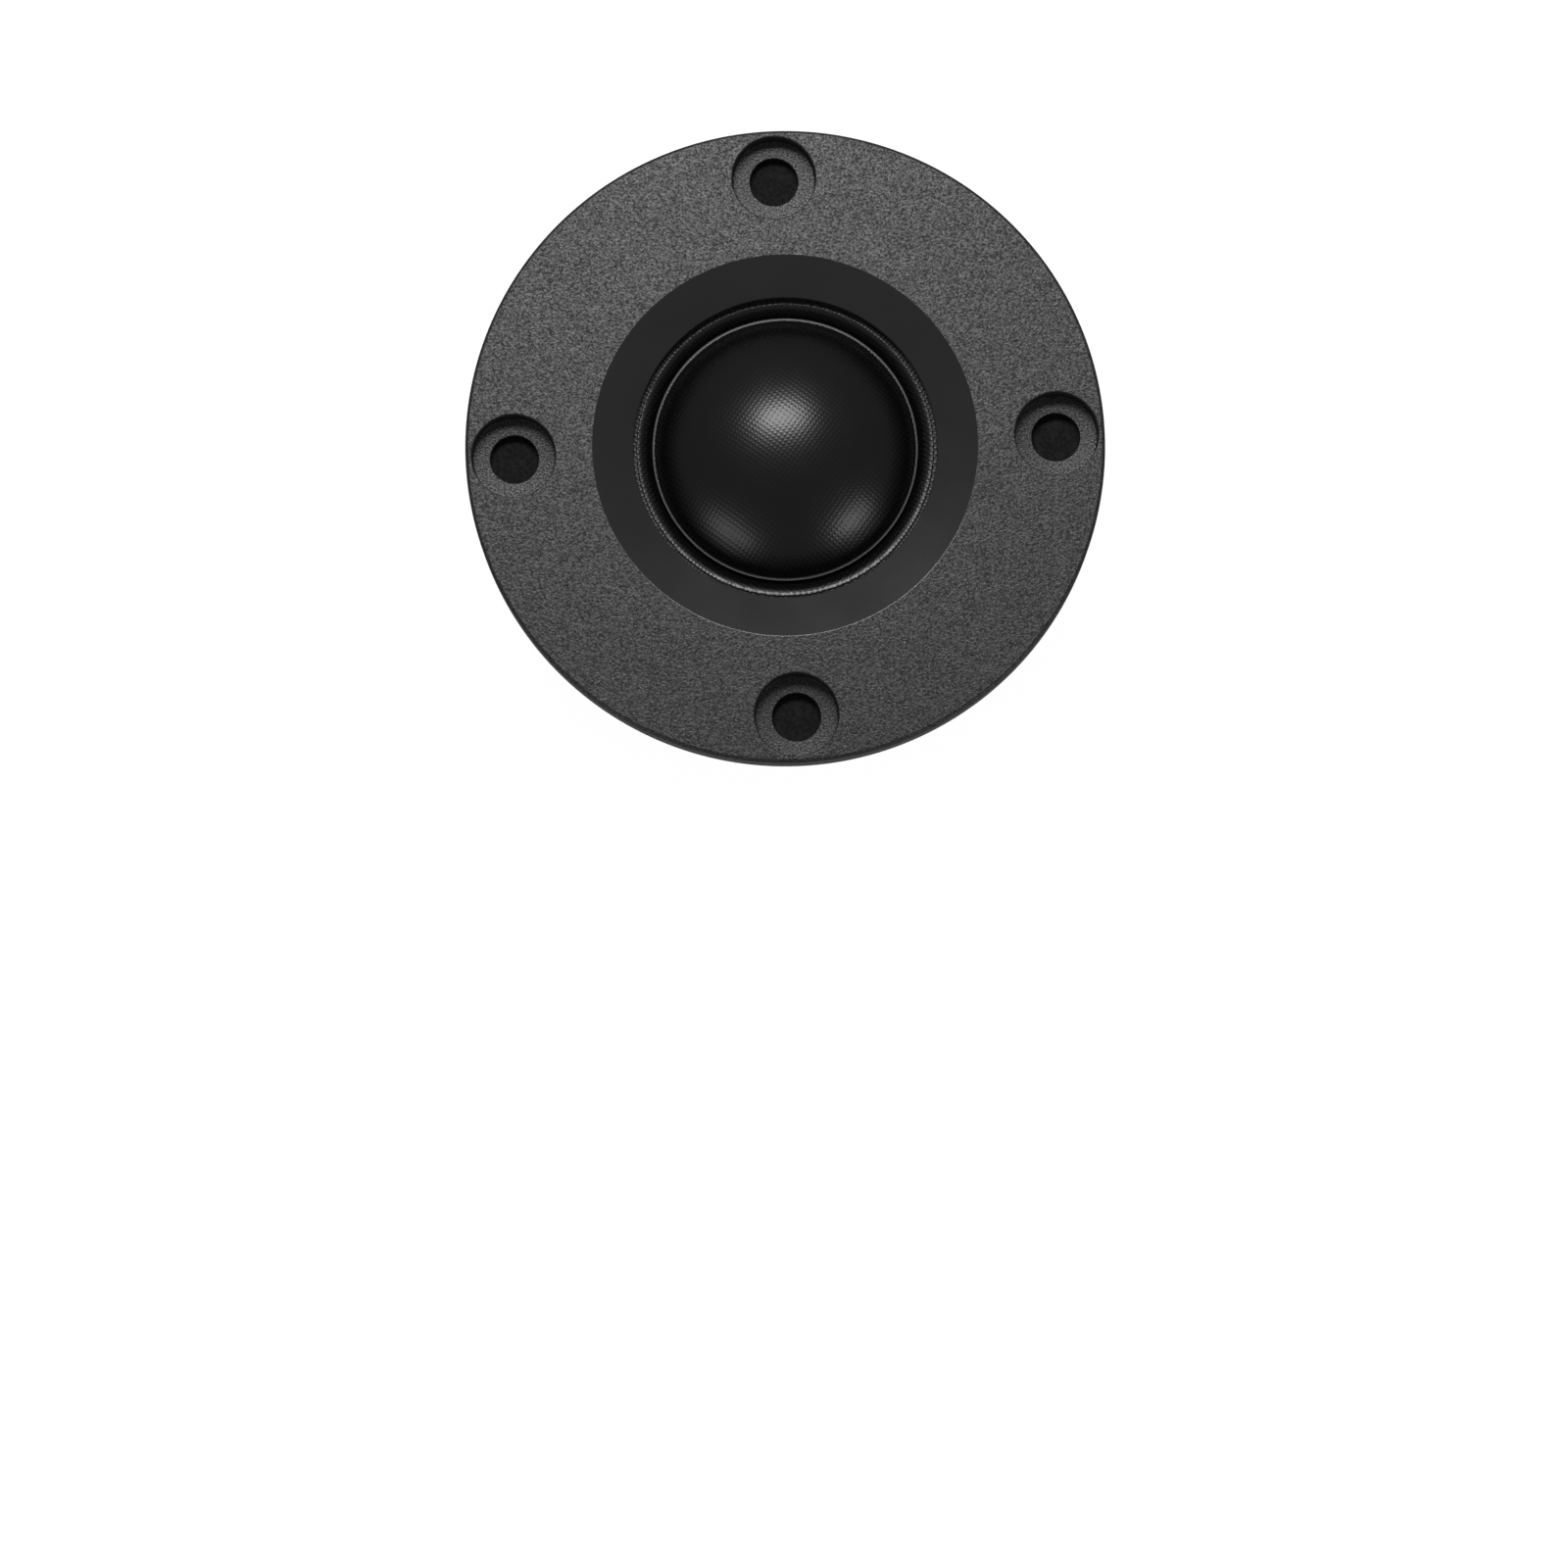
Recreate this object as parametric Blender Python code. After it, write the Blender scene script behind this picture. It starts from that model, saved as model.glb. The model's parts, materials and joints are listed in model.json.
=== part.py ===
"""Soft dome car tweeter, modelled lying on its back with the dome facing up.

Metres, +Z up. The origin is the centre of the rear housing's back face. The sizes run outwards from the
voice coil and upwards from that back face, so each piece is placed from the piece that it fits.
"""

import math

import bmesh
import bpy
from mathutils import Matrix, Vector

MM = 0.001
ROUND_STEPS = 48  # facets round the large turned pieces
SMALL_STEPS = 16  # facets round screws, holes and rivets
DOME_STEPS = 7  # rows up the dome
ROLL_STEPS = 5  # rows up the roll
BEND_STEPS = 4  # facets round a tight bend

# Clearances
SEAT_GAP = 0.3 * MM  # between rigid pieces that rest on each other
BOND_GAP = 0.15 * MM  # between glued, riveted or clamped thin pieces

# Voice coil
COIL_BORE_RADIUS = 12.7 * MM
FORMER_WALL = 0.15 * MM
FORMER_LENGTH = 6.7 * MM
WINDING_WALL = 0.35 * MM
WINDING_LENGTH = 4.4 * MM

# Magnet system
POLE_GAP = 0.35 * MM  # pole plate to former
OUTER_GAP = 0.45 * MM  # winding to yoke
POLE_THICKNESS = 3.0 * MM
POLE_BEVEL = 0.25 * MM
MAGNET_UNDERCUT = 0.45 * MM  # how far the magnet's side stands in from the pole plate's
MAGNET_THICKNESS = 4.0 * MM
MAGNET_BEVEL = 0.3 * MM
YOKE_WALL = 3.0 * MM
YOKE_FLOOR = 3.0 * MM
YOKE_BEVEL = 0.4 * MM
YOKE_PAD_THICKNESS = 0.8 * MM
FELT_THICKNESS = 1.5 * MM
FELT_EDGE = 1.3 * MM  # pole plate's edge to the felt's

# Diaphragm
FABRIC = 0.25 * MM
JOINT_WIDTH = 0.35 * MM  # former's outer side to the dome's rim
JOINT_DEPTH = 2.6 * MM  # front face to the joint
DOME_RISE = 6.9 * MM  # joint to the dome's top
ROLL_WIDTH = 2.05 * MM
ROLL_RISE = 1.05 * MM
ROLL_ABOVE_CLAMP = 0.3 * MM  # clamped edge to the top of the roll
ROLL_NOSE = 0.1 * MM  # the tight outer bend of the roll
LIP_GAP = 0.3 * MM  # roll to the faceplate's lip
CLAMP_WIDTH = 1.75 * MM  # how far the surround's edge runs under the lip
RING_HEIGHT = 1.7 * MM
RING_INSET = 0.15 * MM
LEAD_RADIUS = 0.25 * MM
LEAD_BEND_RADIUS = 0.75 * MM
LEAD_NOTCH_WIDTH = 1.2 * MM
LEAD_NOTCH_HEIGHT = 1.0 * MM
LEAD_SLOPE = 0.9 * MM  # how far above its rivet a lead turns outwards

# Faceplate
FLANGE_THICKNESS = 3.5 * MM
LIP_DEPTH = 1.55 * MM  # front face to the cone's inner edge
LIP_THICKNESS = 1.2 * MM
CONE_WIDTH = 4.15 * MM
RIM_BEVEL = 0.35 * MM
HOLE_RADIUS = 2.45 * MM
COUNTERBORE_RADIUS = 4.25 * MM
COUNTERBORE_DEPTH = 2.3 * MM
HOLE_TO_HOUSING = 4.0 * MM  # housing's side to the hole's axis
HOLE_TO_RIM = 4.9 * MM  # hole's axis to the flange's rim
HOLE_COUNT = 4
BOSS_RADIUS = 2.1 * MM
BOSS_HEIGHT = 4.0 * MM
BOSS_ROOT = 0.9 * MM  # how far a boss runs up into the flange

# Gasket
GASKET_THICKNESS = 1.5 * MM
GASKET_INSET = 0.5 * MM  # flange's rim to the gasket's
GASKET_TO_HOUSING = 1.2 * MM
SLIT_WIDTH = 0.3 * MM
SLIT_LENGTH = 4.6 * MM

# Rear housing
HOUSING_WALL = 1.5 * MM
HOUSING_FLOOR = 1.8 * MM
HOUSING_BEVEL = 0.6 * MM
COLUMN_RADIUS = 3.0 * MM  # at least, and more where the columns must reach further in to hold the yoke
COLUMN_TO_SIDE = 0.5 * MM  # how far the housing's side stands out past its columns
WELL_RADIUS = 2.1 * MM
WEB_THICKNESS = 2.0 * MM
FLAT_DEPTH = 2.6 * MM  # how far the terminal flat is cut in from the round side

# Housing screws
SCREW_COUNT = 4
SCREW_RADIUS = 1.0 * MM
SCREW_HEAD_RADIUS = 1.8 * MM
SCREW_HEAD_HEIGHT = 1.4 * MM
SCREW_HEAD_BEVEL_WIDTH = 0.36 * MM
SCREW_HEAD_BEVEL_HEIGHT = 0.56 * MM
SCREW_POINT_RADIUS = 0.3 * MM
SCREW_BITE = 4.3 * MM  # how far the screw runs into its boss
SCREW_TIP_ROOM = 0.4 * MM
DRIVE_RADIUS = 0.75 * MM
DRIVE_DEPTH = 0.8 * MM
DRIVE_SLOT_WIDTH = 0.4 * MM

# Terminals
BOARD_WIDTH = 18.0 * MM
BOARD_HEIGHT = 6.0 * MM
BOARD_THICKNESS = 1.2 * MM
BOARD_BEVEL = 0.8 * MM
TERMINAL_HEIGHT = 10.4 * MM  # back face to the rivets' axis
TERMINAL_SPACING = 9.8 * MM
TAB_ABOVE_RIVET = 2.4 * MM
TAB_TIP_HEIGHT = 1.2 * MM  # back face to the blades' tips
TAB_TIP_BEVEL = 0.6 * MM
TAB_DIMPLE_RADIUS = 0.6 * MM
TAB_DIMPLE_HEIGHT = 3.8 * MM
POSITIVE_TAB_WIDTH = 4.8 * MM
NEGATIVE_TAB_WIDTH = 2.8 * MM
TAB_THICKNESS = 0.8 * MM
RIVET_RADIUS = 0.8 * MM
RIVET_WALL = 0.3 * MM
RIVET_HEAD_WIDTH = 0.5 * MM  # how far a rivet's head stands out past its shank
RIVET_HEAD_THICKNESS = 0.3 * MM

# Radii, outwards from the coil
former_radius = COIL_BORE_RADIUS + FORMER_WALL
winding_inner = former_radius + BOND_GAP
winding_radius = winding_inner + WINDING_WALL
pole_radius = COIL_BORE_RADIUS - POLE_GAP
magnet_radius = pole_radius - MAGNET_UNDERCUT
gap_radius = winding_radius + OUTER_GAP
yoke_radius = gap_radius + YOKE_WALL
dome_rim_radius = former_radius + JOINT_WIDTH
roll_inner = former_radius + BOND_GAP
roll_crown = roll_inner + ROLL_WIDTH
lip_radius = roll_crown + ROLL_NOSE + LIP_GAP
clamp_radius = lip_radius + CLAMP_WIDTH
rebate_radius = clamp_radius + SEAT_GAP
recess_radius = lip_radius + CONE_WIDTH
column_circle = max(yoke_radius + SEAT_GAP + COLUMN_RADIUS, rebate_radius + BOND_GAP + BOSS_RADIUS)
column_radius = max(COLUMN_RADIUS, column_circle - SEAT_GAP - yoke_radius)
housing_radius = column_circle + column_radius + COLUMN_TO_SIDE
flat_distance = housing_radius - FLAT_DEPTH
hole_circle = housing_radius + HOLE_TO_HOUSING
flange_radius = hole_circle + HOLE_TO_RIM

# Heights, upwards from the back face
pad_bottom = HOUSING_FLOOR + SEAT_GAP
yoke_bottom = pad_bottom + YOKE_PAD_THICKNESS + SEAT_GAP
magnet_bottom = yoke_bottom + YOKE_FLOOR + SEAT_GAP
pole_bottom = magnet_bottom + MAGNET_THICKNESS + SEAT_GAP
yoke_top = pole_bottom + POLE_THICKNESS
ring_bottom = yoke_top + SEAT_GAP
ring_top = ring_bottom + RING_HEIGHT
clamp_top = ring_top + BOND_GAP + FABRIC
seat_height = clamp_top + BOND_GAP
face_height = seat_height + LIP_THICKNESS + LIP_DEPTH
flange_bottom = face_height - FLANGE_THICKNESS
joint_height = face_height - JOINT_DEPTH
winding_bottom = pole_bottom + POLE_THICKNESS / 2 - WINDING_LENGTH / 2
boss_bottom = flange_bottom - BOSS_HEIGHT
column_top = boss_bottom - SEAT_GAP
web_bottom = column_top - WEB_THICKNESS
housing_top = flange_bottom - SEAT_GAP
lead_height = ring_bottom + LEAD_NOTCH_HEIGHT / 2

HOLE_ANGLES = [2 * math.pi * i / HOLE_COUNT for i in range(HOLE_COUNT)]
SCREW_ANGLES = [2 * math.pi * (i + 0.5) / SCREW_COUNT for i in range(SCREW_COUNT)]
# The side that the terminals are on: they are drawn facing +X and turned to face -Y.
TERMINAL_TURN = Matrix.Rotation(-math.pi / 2, 4, "Z")


# Tools -------------------------------------------------------------------------------------------------


def clear_scene():
    for obj in list(bpy.data.objects):
        bpy.data.objects.remove(obj, do_unlink=True)


def material(name, colour, roughness, metallic=0.0):
    made = bpy.data.materials.new(name)
    made.use_nodes = True
    shader = made.node_tree.nodes["Principled BSDF"]
    shader.inputs["Base Color"].default_value = (*colour, 1.0)
    shader.inputs["Roughness"].default_value = roughness
    shader.inputs["Metallic"].default_value = metallic
    return made


def add_object(name, bm, finish=None):
    """Makes an object of a bmesh, smooth-shaded up to 35 degrees."""
    mesh = bpy.data.meshes.new(name)
    bmesh.ops.recalc_face_normals(bm, faces=bm.faces)
    bm.to_mesh(mesh)
    bm.free()
    mesh.shade_smooth()
    mesh.set_sharp_from_angle(angle=math.radians(35))
    if finish:
        mesh.materials.append(finish)
    obj = bpy.data.objects.new(name, mesh)
    bpy.context.scene.collection.objects.link(obj)
    return obj


def as_cutter(obj):
    obj.hide_render = True
    obj.display_type = "WIRE"
    return obj


def boolean(obj, other, operation="DIFFERENCE"):
    cut = obj.modifiers.new(other.name, "BOOLEAN")
    cut.operation = operation
    cut.solver = "EXACT"
    cut.object = other


def turn(bm, profile, steps=ROUND_STEPS, place=None):
    """Spins a closed outline of (radius, height) points about Z, and then moves it to its place."""
    verts = [bm.verts.new((radius, 0, height)) for radius, height in profile]
    edges = [bm.edges.new((verts[i - 1], verts[i])) for i in range(len(verts))]
    on_axis = [e for e in edges if all(v.co.x < 1e-9 for v in e.verts)]
    spun = [e for e in edges if e not in on_axis]
    made = bmesh.ops.spin(bm, geom=verts + spun, axis=(0, 0, 1), cent=(0, 0, 0), dvec=(0, 0, 0),
                          angle=2 * math.pi, steps=steps, use_merge=True, use_duplicate=False)
    for edge in on_axis:
        bm.edges.remove(edge)
    found = set(verts) | {v for v in made["geom_last"] if isinstance(v, bmesh.types.BMVert)}
    reached = list(found)
    while reached:
        vert = reached.pop()
        for edge in vert.link_edges:
            other = edge.other_vert(vert)
            if other not in found:
                found.add(other)
                reached.append(other)
    bmesh.ops.remove_doubles(bm, verts=list(found), dist=1e-7)
    if place is not None:
        kept = [v for v in found if v.is_valid]
        bmesh.ops.transform(bm, matrix=place, verts=kept)


def turned(name, profile, finish=None, steps=ROUND_STEPS, places=(None,)):
    bm = bmesh.new()
    for place in places:
        turn(bm, profile, steps, place)
    return add_object(name, bm, finish)


def plate(name, outline, low, high, finish=None, place=None):
    """A flat plate: an outline of (x, y) points, extruded from one height to another."""
    bm = bmesh.new()
    face = bm.faces.new([bm.verts.new((x, y, low)) for x, y in outline])
    grown = bmesh.ops.extrude_face_region(bm, geom=[face])
    top = [v for v in grown["geom"] if isinstance(v, bmesh.types.BMVert)]
    bmesh.ops.translate(bm, verts=top, vec=(0, 0, high - low))
    if place is not None:
        bmesh.ops.transform(bm, matrix=place, verts=bm.verts)
    return add_object(name, bm, finish)


def block(name, low, high, place=None):
    outline = [(low[0], low[1]), (high[0], low[1]), (high[0], high[1]), (low[0], high[1])]
    return as_cutter(plate(name, outline, low[2], high[2], place=place))


def disc_outline(radius, low, high, bevel=0.0):
    """The outline of a solid disc or rod, with both edges bevelled."""
    if not bevel:
        return [(0, low), (radius, low), (radius, high), (0, high)]
    return [(0, low), (radius - bevel, low), (radius, low + bevel), (radius, high - bevel),
            (radius - bevel, high), (0, high)]


def ring_outline(inner, outer, low, high):
    return [(inner, low), (outer, low), (outer, high), (inner, high)]


def arc(centre, radius, start, end, steps):
    """Points of a round stretch, with its angles in degrees from the outward direction."""
    angles = [math.radians(start + (end - start) * i / steps) for i in range(steps + 1)]
    return [(centre[0] + radius * math.cos(a), centre[1] + radius * math.sin(a)) for a in angles]


def thickened(top, thickness):
    """Closes a line of (radius, height) points into a skin that lies below it, or to the left of it."""
    under = []
    for i, (radius, height) in enumerate(top):
        before, after = Vector(top[max(i - 1, 0)]), Vector(top[min(i + 1, len(top) - 1)])
        along = (after - before).normalized()
        under.append((radius + along.y * thickness, height - along.x * thickness))
    return top + under[::-1]


def at_circle(radius, angle):
    return Matrix.Rotation(angle, 4, "Z") @ Matrix.Translation((radius, 0, 0))


# Front -------------------------------------------------------------------------------------------------


def make_faceplate(plastic):
    """The moulded flange, its cone, the lip over the surround, and the bosses for the housing's screws."""
    body = turned("faceplate", [
        (lip_radius, seat_height), (lip_radius, face_height - LIP_DEPTH), (recess_radius, face_height),
        (flange_radius - RIM_BEVEL, face_height), (flange_radius, face_height - RIM_BEVEL),
        (flange_radius, flange_bottom), (rebate_radius, flange_bottom), (rebate_radius, seat_height),
    ], plastic)
    bosses = turned("faceplate_bosses", disc_outline(BOSS_RADIUS, boss_bottom, flange_bottom + BOSS_ROOT),
                    steps=SMALL_STEPS, places=[at_circle(column_circle, a) for a in SCREW_ANGLES])
    boolean(body, as_cutter(bosses), "UNION")

    pilot_top = boss_bottom + SCREW_BITE + SCREW_TIP_ROOM
    pilots = turned("boss_holes", disc_outline(SCREW_RADIUS + BOND_GAP, boss_bottom - MM, pilot_top),
                    steps=SMALL_STEPS, places=[at_circle(column_circle, a) for a in SCREW_ANGLES])
    boolean(body, as_cutter(pilots))

    floor = face_height - COUNTERBORE_DEPTH
    mounting_holes = turned("mounting_holes", [
        (0, flange_bottom - MM), (HOLE_RADIUS, flange_bottom - MM), (HOLE_RADIUS, floor),
        (COUNTERBORE_RADIUS, floor), (COUNTERBORE_RADIUS, face_height + MM), (0, face_height + MM),
    ], steps=SMALL_STEPS, places=[at_circle(hole_circle, a) for a in HOLE_ANGLES])
    boolean(body, as_cutter(mounting_holes))


def make_gasket(foam):
    """A foam ring under the flange. A cross slit lets each mounting screw through."""
    top = flange_bottom - SEAT_GAP
    bottom = top - GASKET_THICKNESS
    inner = housing_radius + GASKET_TO_HOUSING
    ring = turned("mounting_gasket", ring_outline(inner, flange_radius - GASKET_INSET, bottom, top), foam)
    for i, angle in enumerate(HOLE_ANGLES):
        half_width, half_length = SLIT_WIDTH / 2, SLIT_LENGTH / 2
        arms = [(half_width, half_width), (half_width, half_length), (-half_width, half_length),
                (-half_width, half_width), (-half_length, half_width), (-half_length, -half_width),
                (-half_width, -half_width), (-half_width, -half_length), (half_width, -half_length),
                (half_width, -half_width), (half_length, -half_width), (half_length, half_width)]
        place = at_circle(hole_circle, angle)
        boolean(ring, as_cutter(plate(f"gasket_slit_{i}", arms, bottom - MM, top + MM, place=place)))


def make_dome(silk):
    """A thin cap of a sphere, given by its rim and its rise."""
    radius = (dome_rim_radius**2 + DOME_RISE**2) / (2 * DOME_RISE)
    centre = (0, joint_height + DOME_RISE - radius)
    rim_angle = math.degrees(math.asin((joint_height - centre[1]) / radius))
    outside = arc(centre, radius, rim_angle, 90, DOME_STEPS)
    inside = arc(centre, radius - FABRIC, 90, rim_angle, DOME_STEPS)
    outside[-1], inside[0] = (0, centre[1] + radius), (0, centre[1] + radius - FABRIC)
    return turned("dome", outside + inside, silk)


def make_surround(silk):
    """A roll that rises from the former's side to its crown, bends down inside the lip and runs out under it."""
    crown = clamp_top + ROLL_ABOVE_CLAMP
    foot = crown - ROLL_RISE
    line = [(roll_inner + ROLL_WIDTH * i / ROLL_STEPS,
             foot + ROLL_RISE * math.sin(math.pi / 2 * i / ROLL_STEPS)) for i in range(ROLL_STEPS)]
    line += arc((roll_crown, crown - ROLL_NOSE), ROLL_NOSE, 90, 0, BEND_STEPS)
    skin = thickened(line, FABRIC)
    wall, inner_wall = roll_crown + ROLL_NOSE, skin[len(line)][0]
    edge = [(wall, clamp_top), (clamp_radius, clamp_top), (clamp_radius, clamp_top - FABRIC),
            (inner_wall, clamp_top - FABRIC)]
    return turned("surround", line + edge + skin[len(line):], silk)


def make_coil(aluminium, copper):
    """The former hangs from the dome's rim, and the winding is centred on the pole plate."""
    top = joint_height - BOND_GAP
    turned("voice_coil_former", ring_outline(COIL_BORE_RADIUS, former_radius, top - FORMER_LENGTH, top),
           aluminium)
    turned("voice_coil_winding", ring_outline(winding_inner, winding_radius, winding_bottom,
                                              winding_bottom + WINDING_LENGTH), copper)


def terminal_sides():
    """The two terminals' names, places across the flat and blade widths."""
    return [("positive", TERMINAL_SPACING / 2, POSITIVE_TAB_WIDTH),
            ("negative", -TERMINAL_SPACING / 2, NEGATIVE_TAB_WIDTH)]


def make_ring(plastic):
    """The ring that carries the surround's flat edge, notched underneath for the two leads."""
    inner = lip_radius + RING_INSET
    ring = turned("diaphragm_ring", ring_outline(inner, clamp_radius, ring_bottom, ring_top), plastic)
    for side, across, _ in terminal_sides():
        low = (0, across - LEAD_NOTCH_WIDTH / 2, ring_bottom - MM)
        high = (clamp_radius + MM, across + LEAD_NOTCH_WIDTH / 2, ring_bottom + LEAD_NOTCH_HEIGHT)
        boolean(ring, block(f"lead_notch_{side}", low, high, TERMINAL_TURN))


def make_leads(braid):
    """Each lead runs out from the winding, through its notch, down past the yoke and to its rivet."""
    inner_wall = flat_distance - HOUSING_WALL
    start_radius = winding_radius + LEAD_RADIUS + BOND_GAP
    end = inner_wall - BOND_GAP - RIVET_HEAD_THICKNESS - BOND_GAP
    drop = (clamp_radius + inner_wall) / 2  # how far out the lead turns down
    for side, across, _ in terminal_sides():
        start = math.sqrt(start_radius**2 - across**2)
        bend = drop - LEAD_BEND_RADIUS
        route = [(start, lead_height), (bend, lead_height)]
        route += arc((bend, lead_height - LEAD_BEND_RADIUS), LEAD_BEND_RADIUS, 75, 0, BEND_STEPS)
        route += [(drop, TERMINAL_HEIGHT + LEAD_SLOPE), (end, TERMINAL_HEIGHT)]
        curve = bpy.data.curves.new(f"lead_wire_{side}", "CURVE")
        curve.dimensions = "3D"
        curve.bevel_depth = LEAD_RADIUS
        curve.bevel_resolution = 2
        curve.use_fill_caps = True
        line = curve.splines.new("POLY")
        line.points.add(len(route) - 1)
        for point, (outwards, height) in zip(line.points, route):
            place = TERMINAL_TURN @ Vector((outwards, across, height))
            point.co = (*place, 1.0)
        curve.materials.append(braid)
        obj = bpy.data.objects.new(curve.name, curve)
        bpy.context.scene.collection.objects.link(obj)


# Motor -------------------------------------------------------------------------------------------------


def make_motor(steel, nickel, felt, foam):
    turned("pole_plate", disc_outline(pole_radius, pole_bottom, yoke_top, POLE_BEVEL), steel)
    magnet_top = magnet_bottom + MAGNET_THICKNESS
    turned("magnet", disc_outline(magnet_radius, magnet_bottom, magnet_top, MAGNET_BEVEL), nickel)
    turned("yoke_cup", [
        (0, yoke_bottom), (yoke_radius - YOKE_BEVEL, yoke_bottom), (yoke_radius, yoke_bottom + YOKE_BEVEL),
        (yoke_radius, yoke_top), (gap_radius, yoke_top), (gap_radius, yoke_bottom + YOKE_FLOOR),
        (0, yoke_bottom + YOKE_FLOOR),
    ], steel)
    pad_top = pad_bottom + YOKE_PAD_THICKNESS
    turned("yoke_pad", disc_outline(yoke_radius - YOKE_BEVEL, pad_bottom, pad_top), foam)
    felt_bottom = yoke_top + SEAT_GAP
    turned("felt_damper", disc_outline(pole_radius - FELT_EDGE, felt_bottom, felt_bottom + FELT_THICKNESS),
           felt)


# Rear --------------------------------------------------------------------------------------------------


def make_housing(plastic):
    """A round cup with a flat for the terminals, and a column with a screw well at each boss."""
    body = turned("rear_housing", [
        (0, 0), (housing_radius - HOUSING_BEVEL, 0), (housing_radius, HOUSING_BEVEL),
        (housing_radius, housing_top), (0, housing_top),
    ], plastic)
    reach = 2 * housing_radius
    boolean(body, block("terminal_flat", (flat_distance, -reach, -MM), (reach, reach, housing_top + MM),
                        TERMINAL_TURN))

    places = [at_circle(column_circle, a) for a in SCREW_ANGLES]
    inside = as_cutter(turned("housing_inside", disc_outline(housing_radius - HOUSING_WALL, HOUSING_FLOOR,
                                                             housing_top + MM)))
    boolean(inside, block("flat_wall", (flat_distance - HOUSING_WALL, -reach, 0),
                          (reach, reach, housing_top + 2 * MM), TERMINAL_TURN))
    columns = turned("housing_columns", disc_outline(column_radius, 0, column_top), steps=SMALL_STEPS,
                     places=places)
    boolean(inside, as_cutter(columns))
    boolean(body, inside)

    wells = turned("screw_wells", [
        (0, -MM), (WELL_RADIUS, -MM), (WELL_RADIUS, web_bottom), (SCREW_RADIUS + SEAT_GAP, web_bottom),
        (SCREW_RADIUS + SEAT_GAP, column_top), (BOSS_RADIUS + SEAT_GAP, column_top),
        (BOSS_RADIUS + SEAT_GAP, housing_top + MM), (0, housing_top + MM),
    ], steps=SMALL_STEPS, places=places)
    boolean(body, as_cutter(wells))
    boolean(body, rivet_holes("housing_rivet_holes"))


def make_screws(steel):
    """Self-tapping screws, driven from behind: each head is up in its well and its point is in a boss."""
    head_top = web_bottom - BOND_GAP
    head_bottom = head_top - SCREW_HEAD_HEIGHT
    tip = boss_bottom + SCREW_BITE
    outline = [
        (0, head_bottom), (SCREW_HEAD_RADIUS - SCREW_HEAD_BEVEL_WIDTH, head_bottom),
        (SCREW_HEAD_RADIUS, head_bottom + SCREW_HEAD_BEVEL_HEIGHT), (SCREW_HEAD_RADIUS, head_top),
        (SCREW_RADIUS, head_top), (SCREW_RADIUS, tip - SCREW_RADIUS), (SCREW_POINT_RADIUS, tip), (0, tip),
    ]
    for i, angle in enumerate(SCREW_ANGLES):
        place = at_circle(column_circle, angle)
        screw = turned(f"housing_screw_{i + 1}", outline, steel, SMALL_STEPS, [place])
        half = DRIVE_SLOT_WIDTH / 2
        cross = [(half, half), (half, DRIVE_RADIUS), (-half, DRIVE_RADIUS), (-half, half),
                 (-DRIVE_RADIUS, half), (-DRIVE_RADIUS, -half), (-half, -half), (-half, -DRIVE_RADIUS),
                 (half, -DRIVE_RADIUS), (half, -half), (DRIVE_RADIUS, -half), (DRIVE_RADIUS, half)]
        boolean(screw, as_cutter(plate(f"screw_drive_{i + 1}", cross, head_bottom - MM,
                                       head_bottom + DRIVE_DEPTH, place=place)))


def facing_out(across):
    """Puts a shape drawn about Z onto a rivet's axis, with its height running out through the flat."""
    lay_down = Matrix.Rotation(math.pi / 2, 4, "Y")
    return TERMINAL_TURN @ Matrix.Translation((0, across, TERMINAL_HEIGHT)) @ lay_down


def rivet_holes(name):
    """Cuts both rivets' holes through whatever stands at the terminal flat."""
    return as_cutter(turned(
        name, disc_outline(RIVET_RADIUS + BOND_GAP, flat_distance - HOUSING_WALL - MM, housing_radius + MM),
        steps=SMALL_STEPS, places=[facing_out(across) for _, across, _ in terminal_sides()]))


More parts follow.
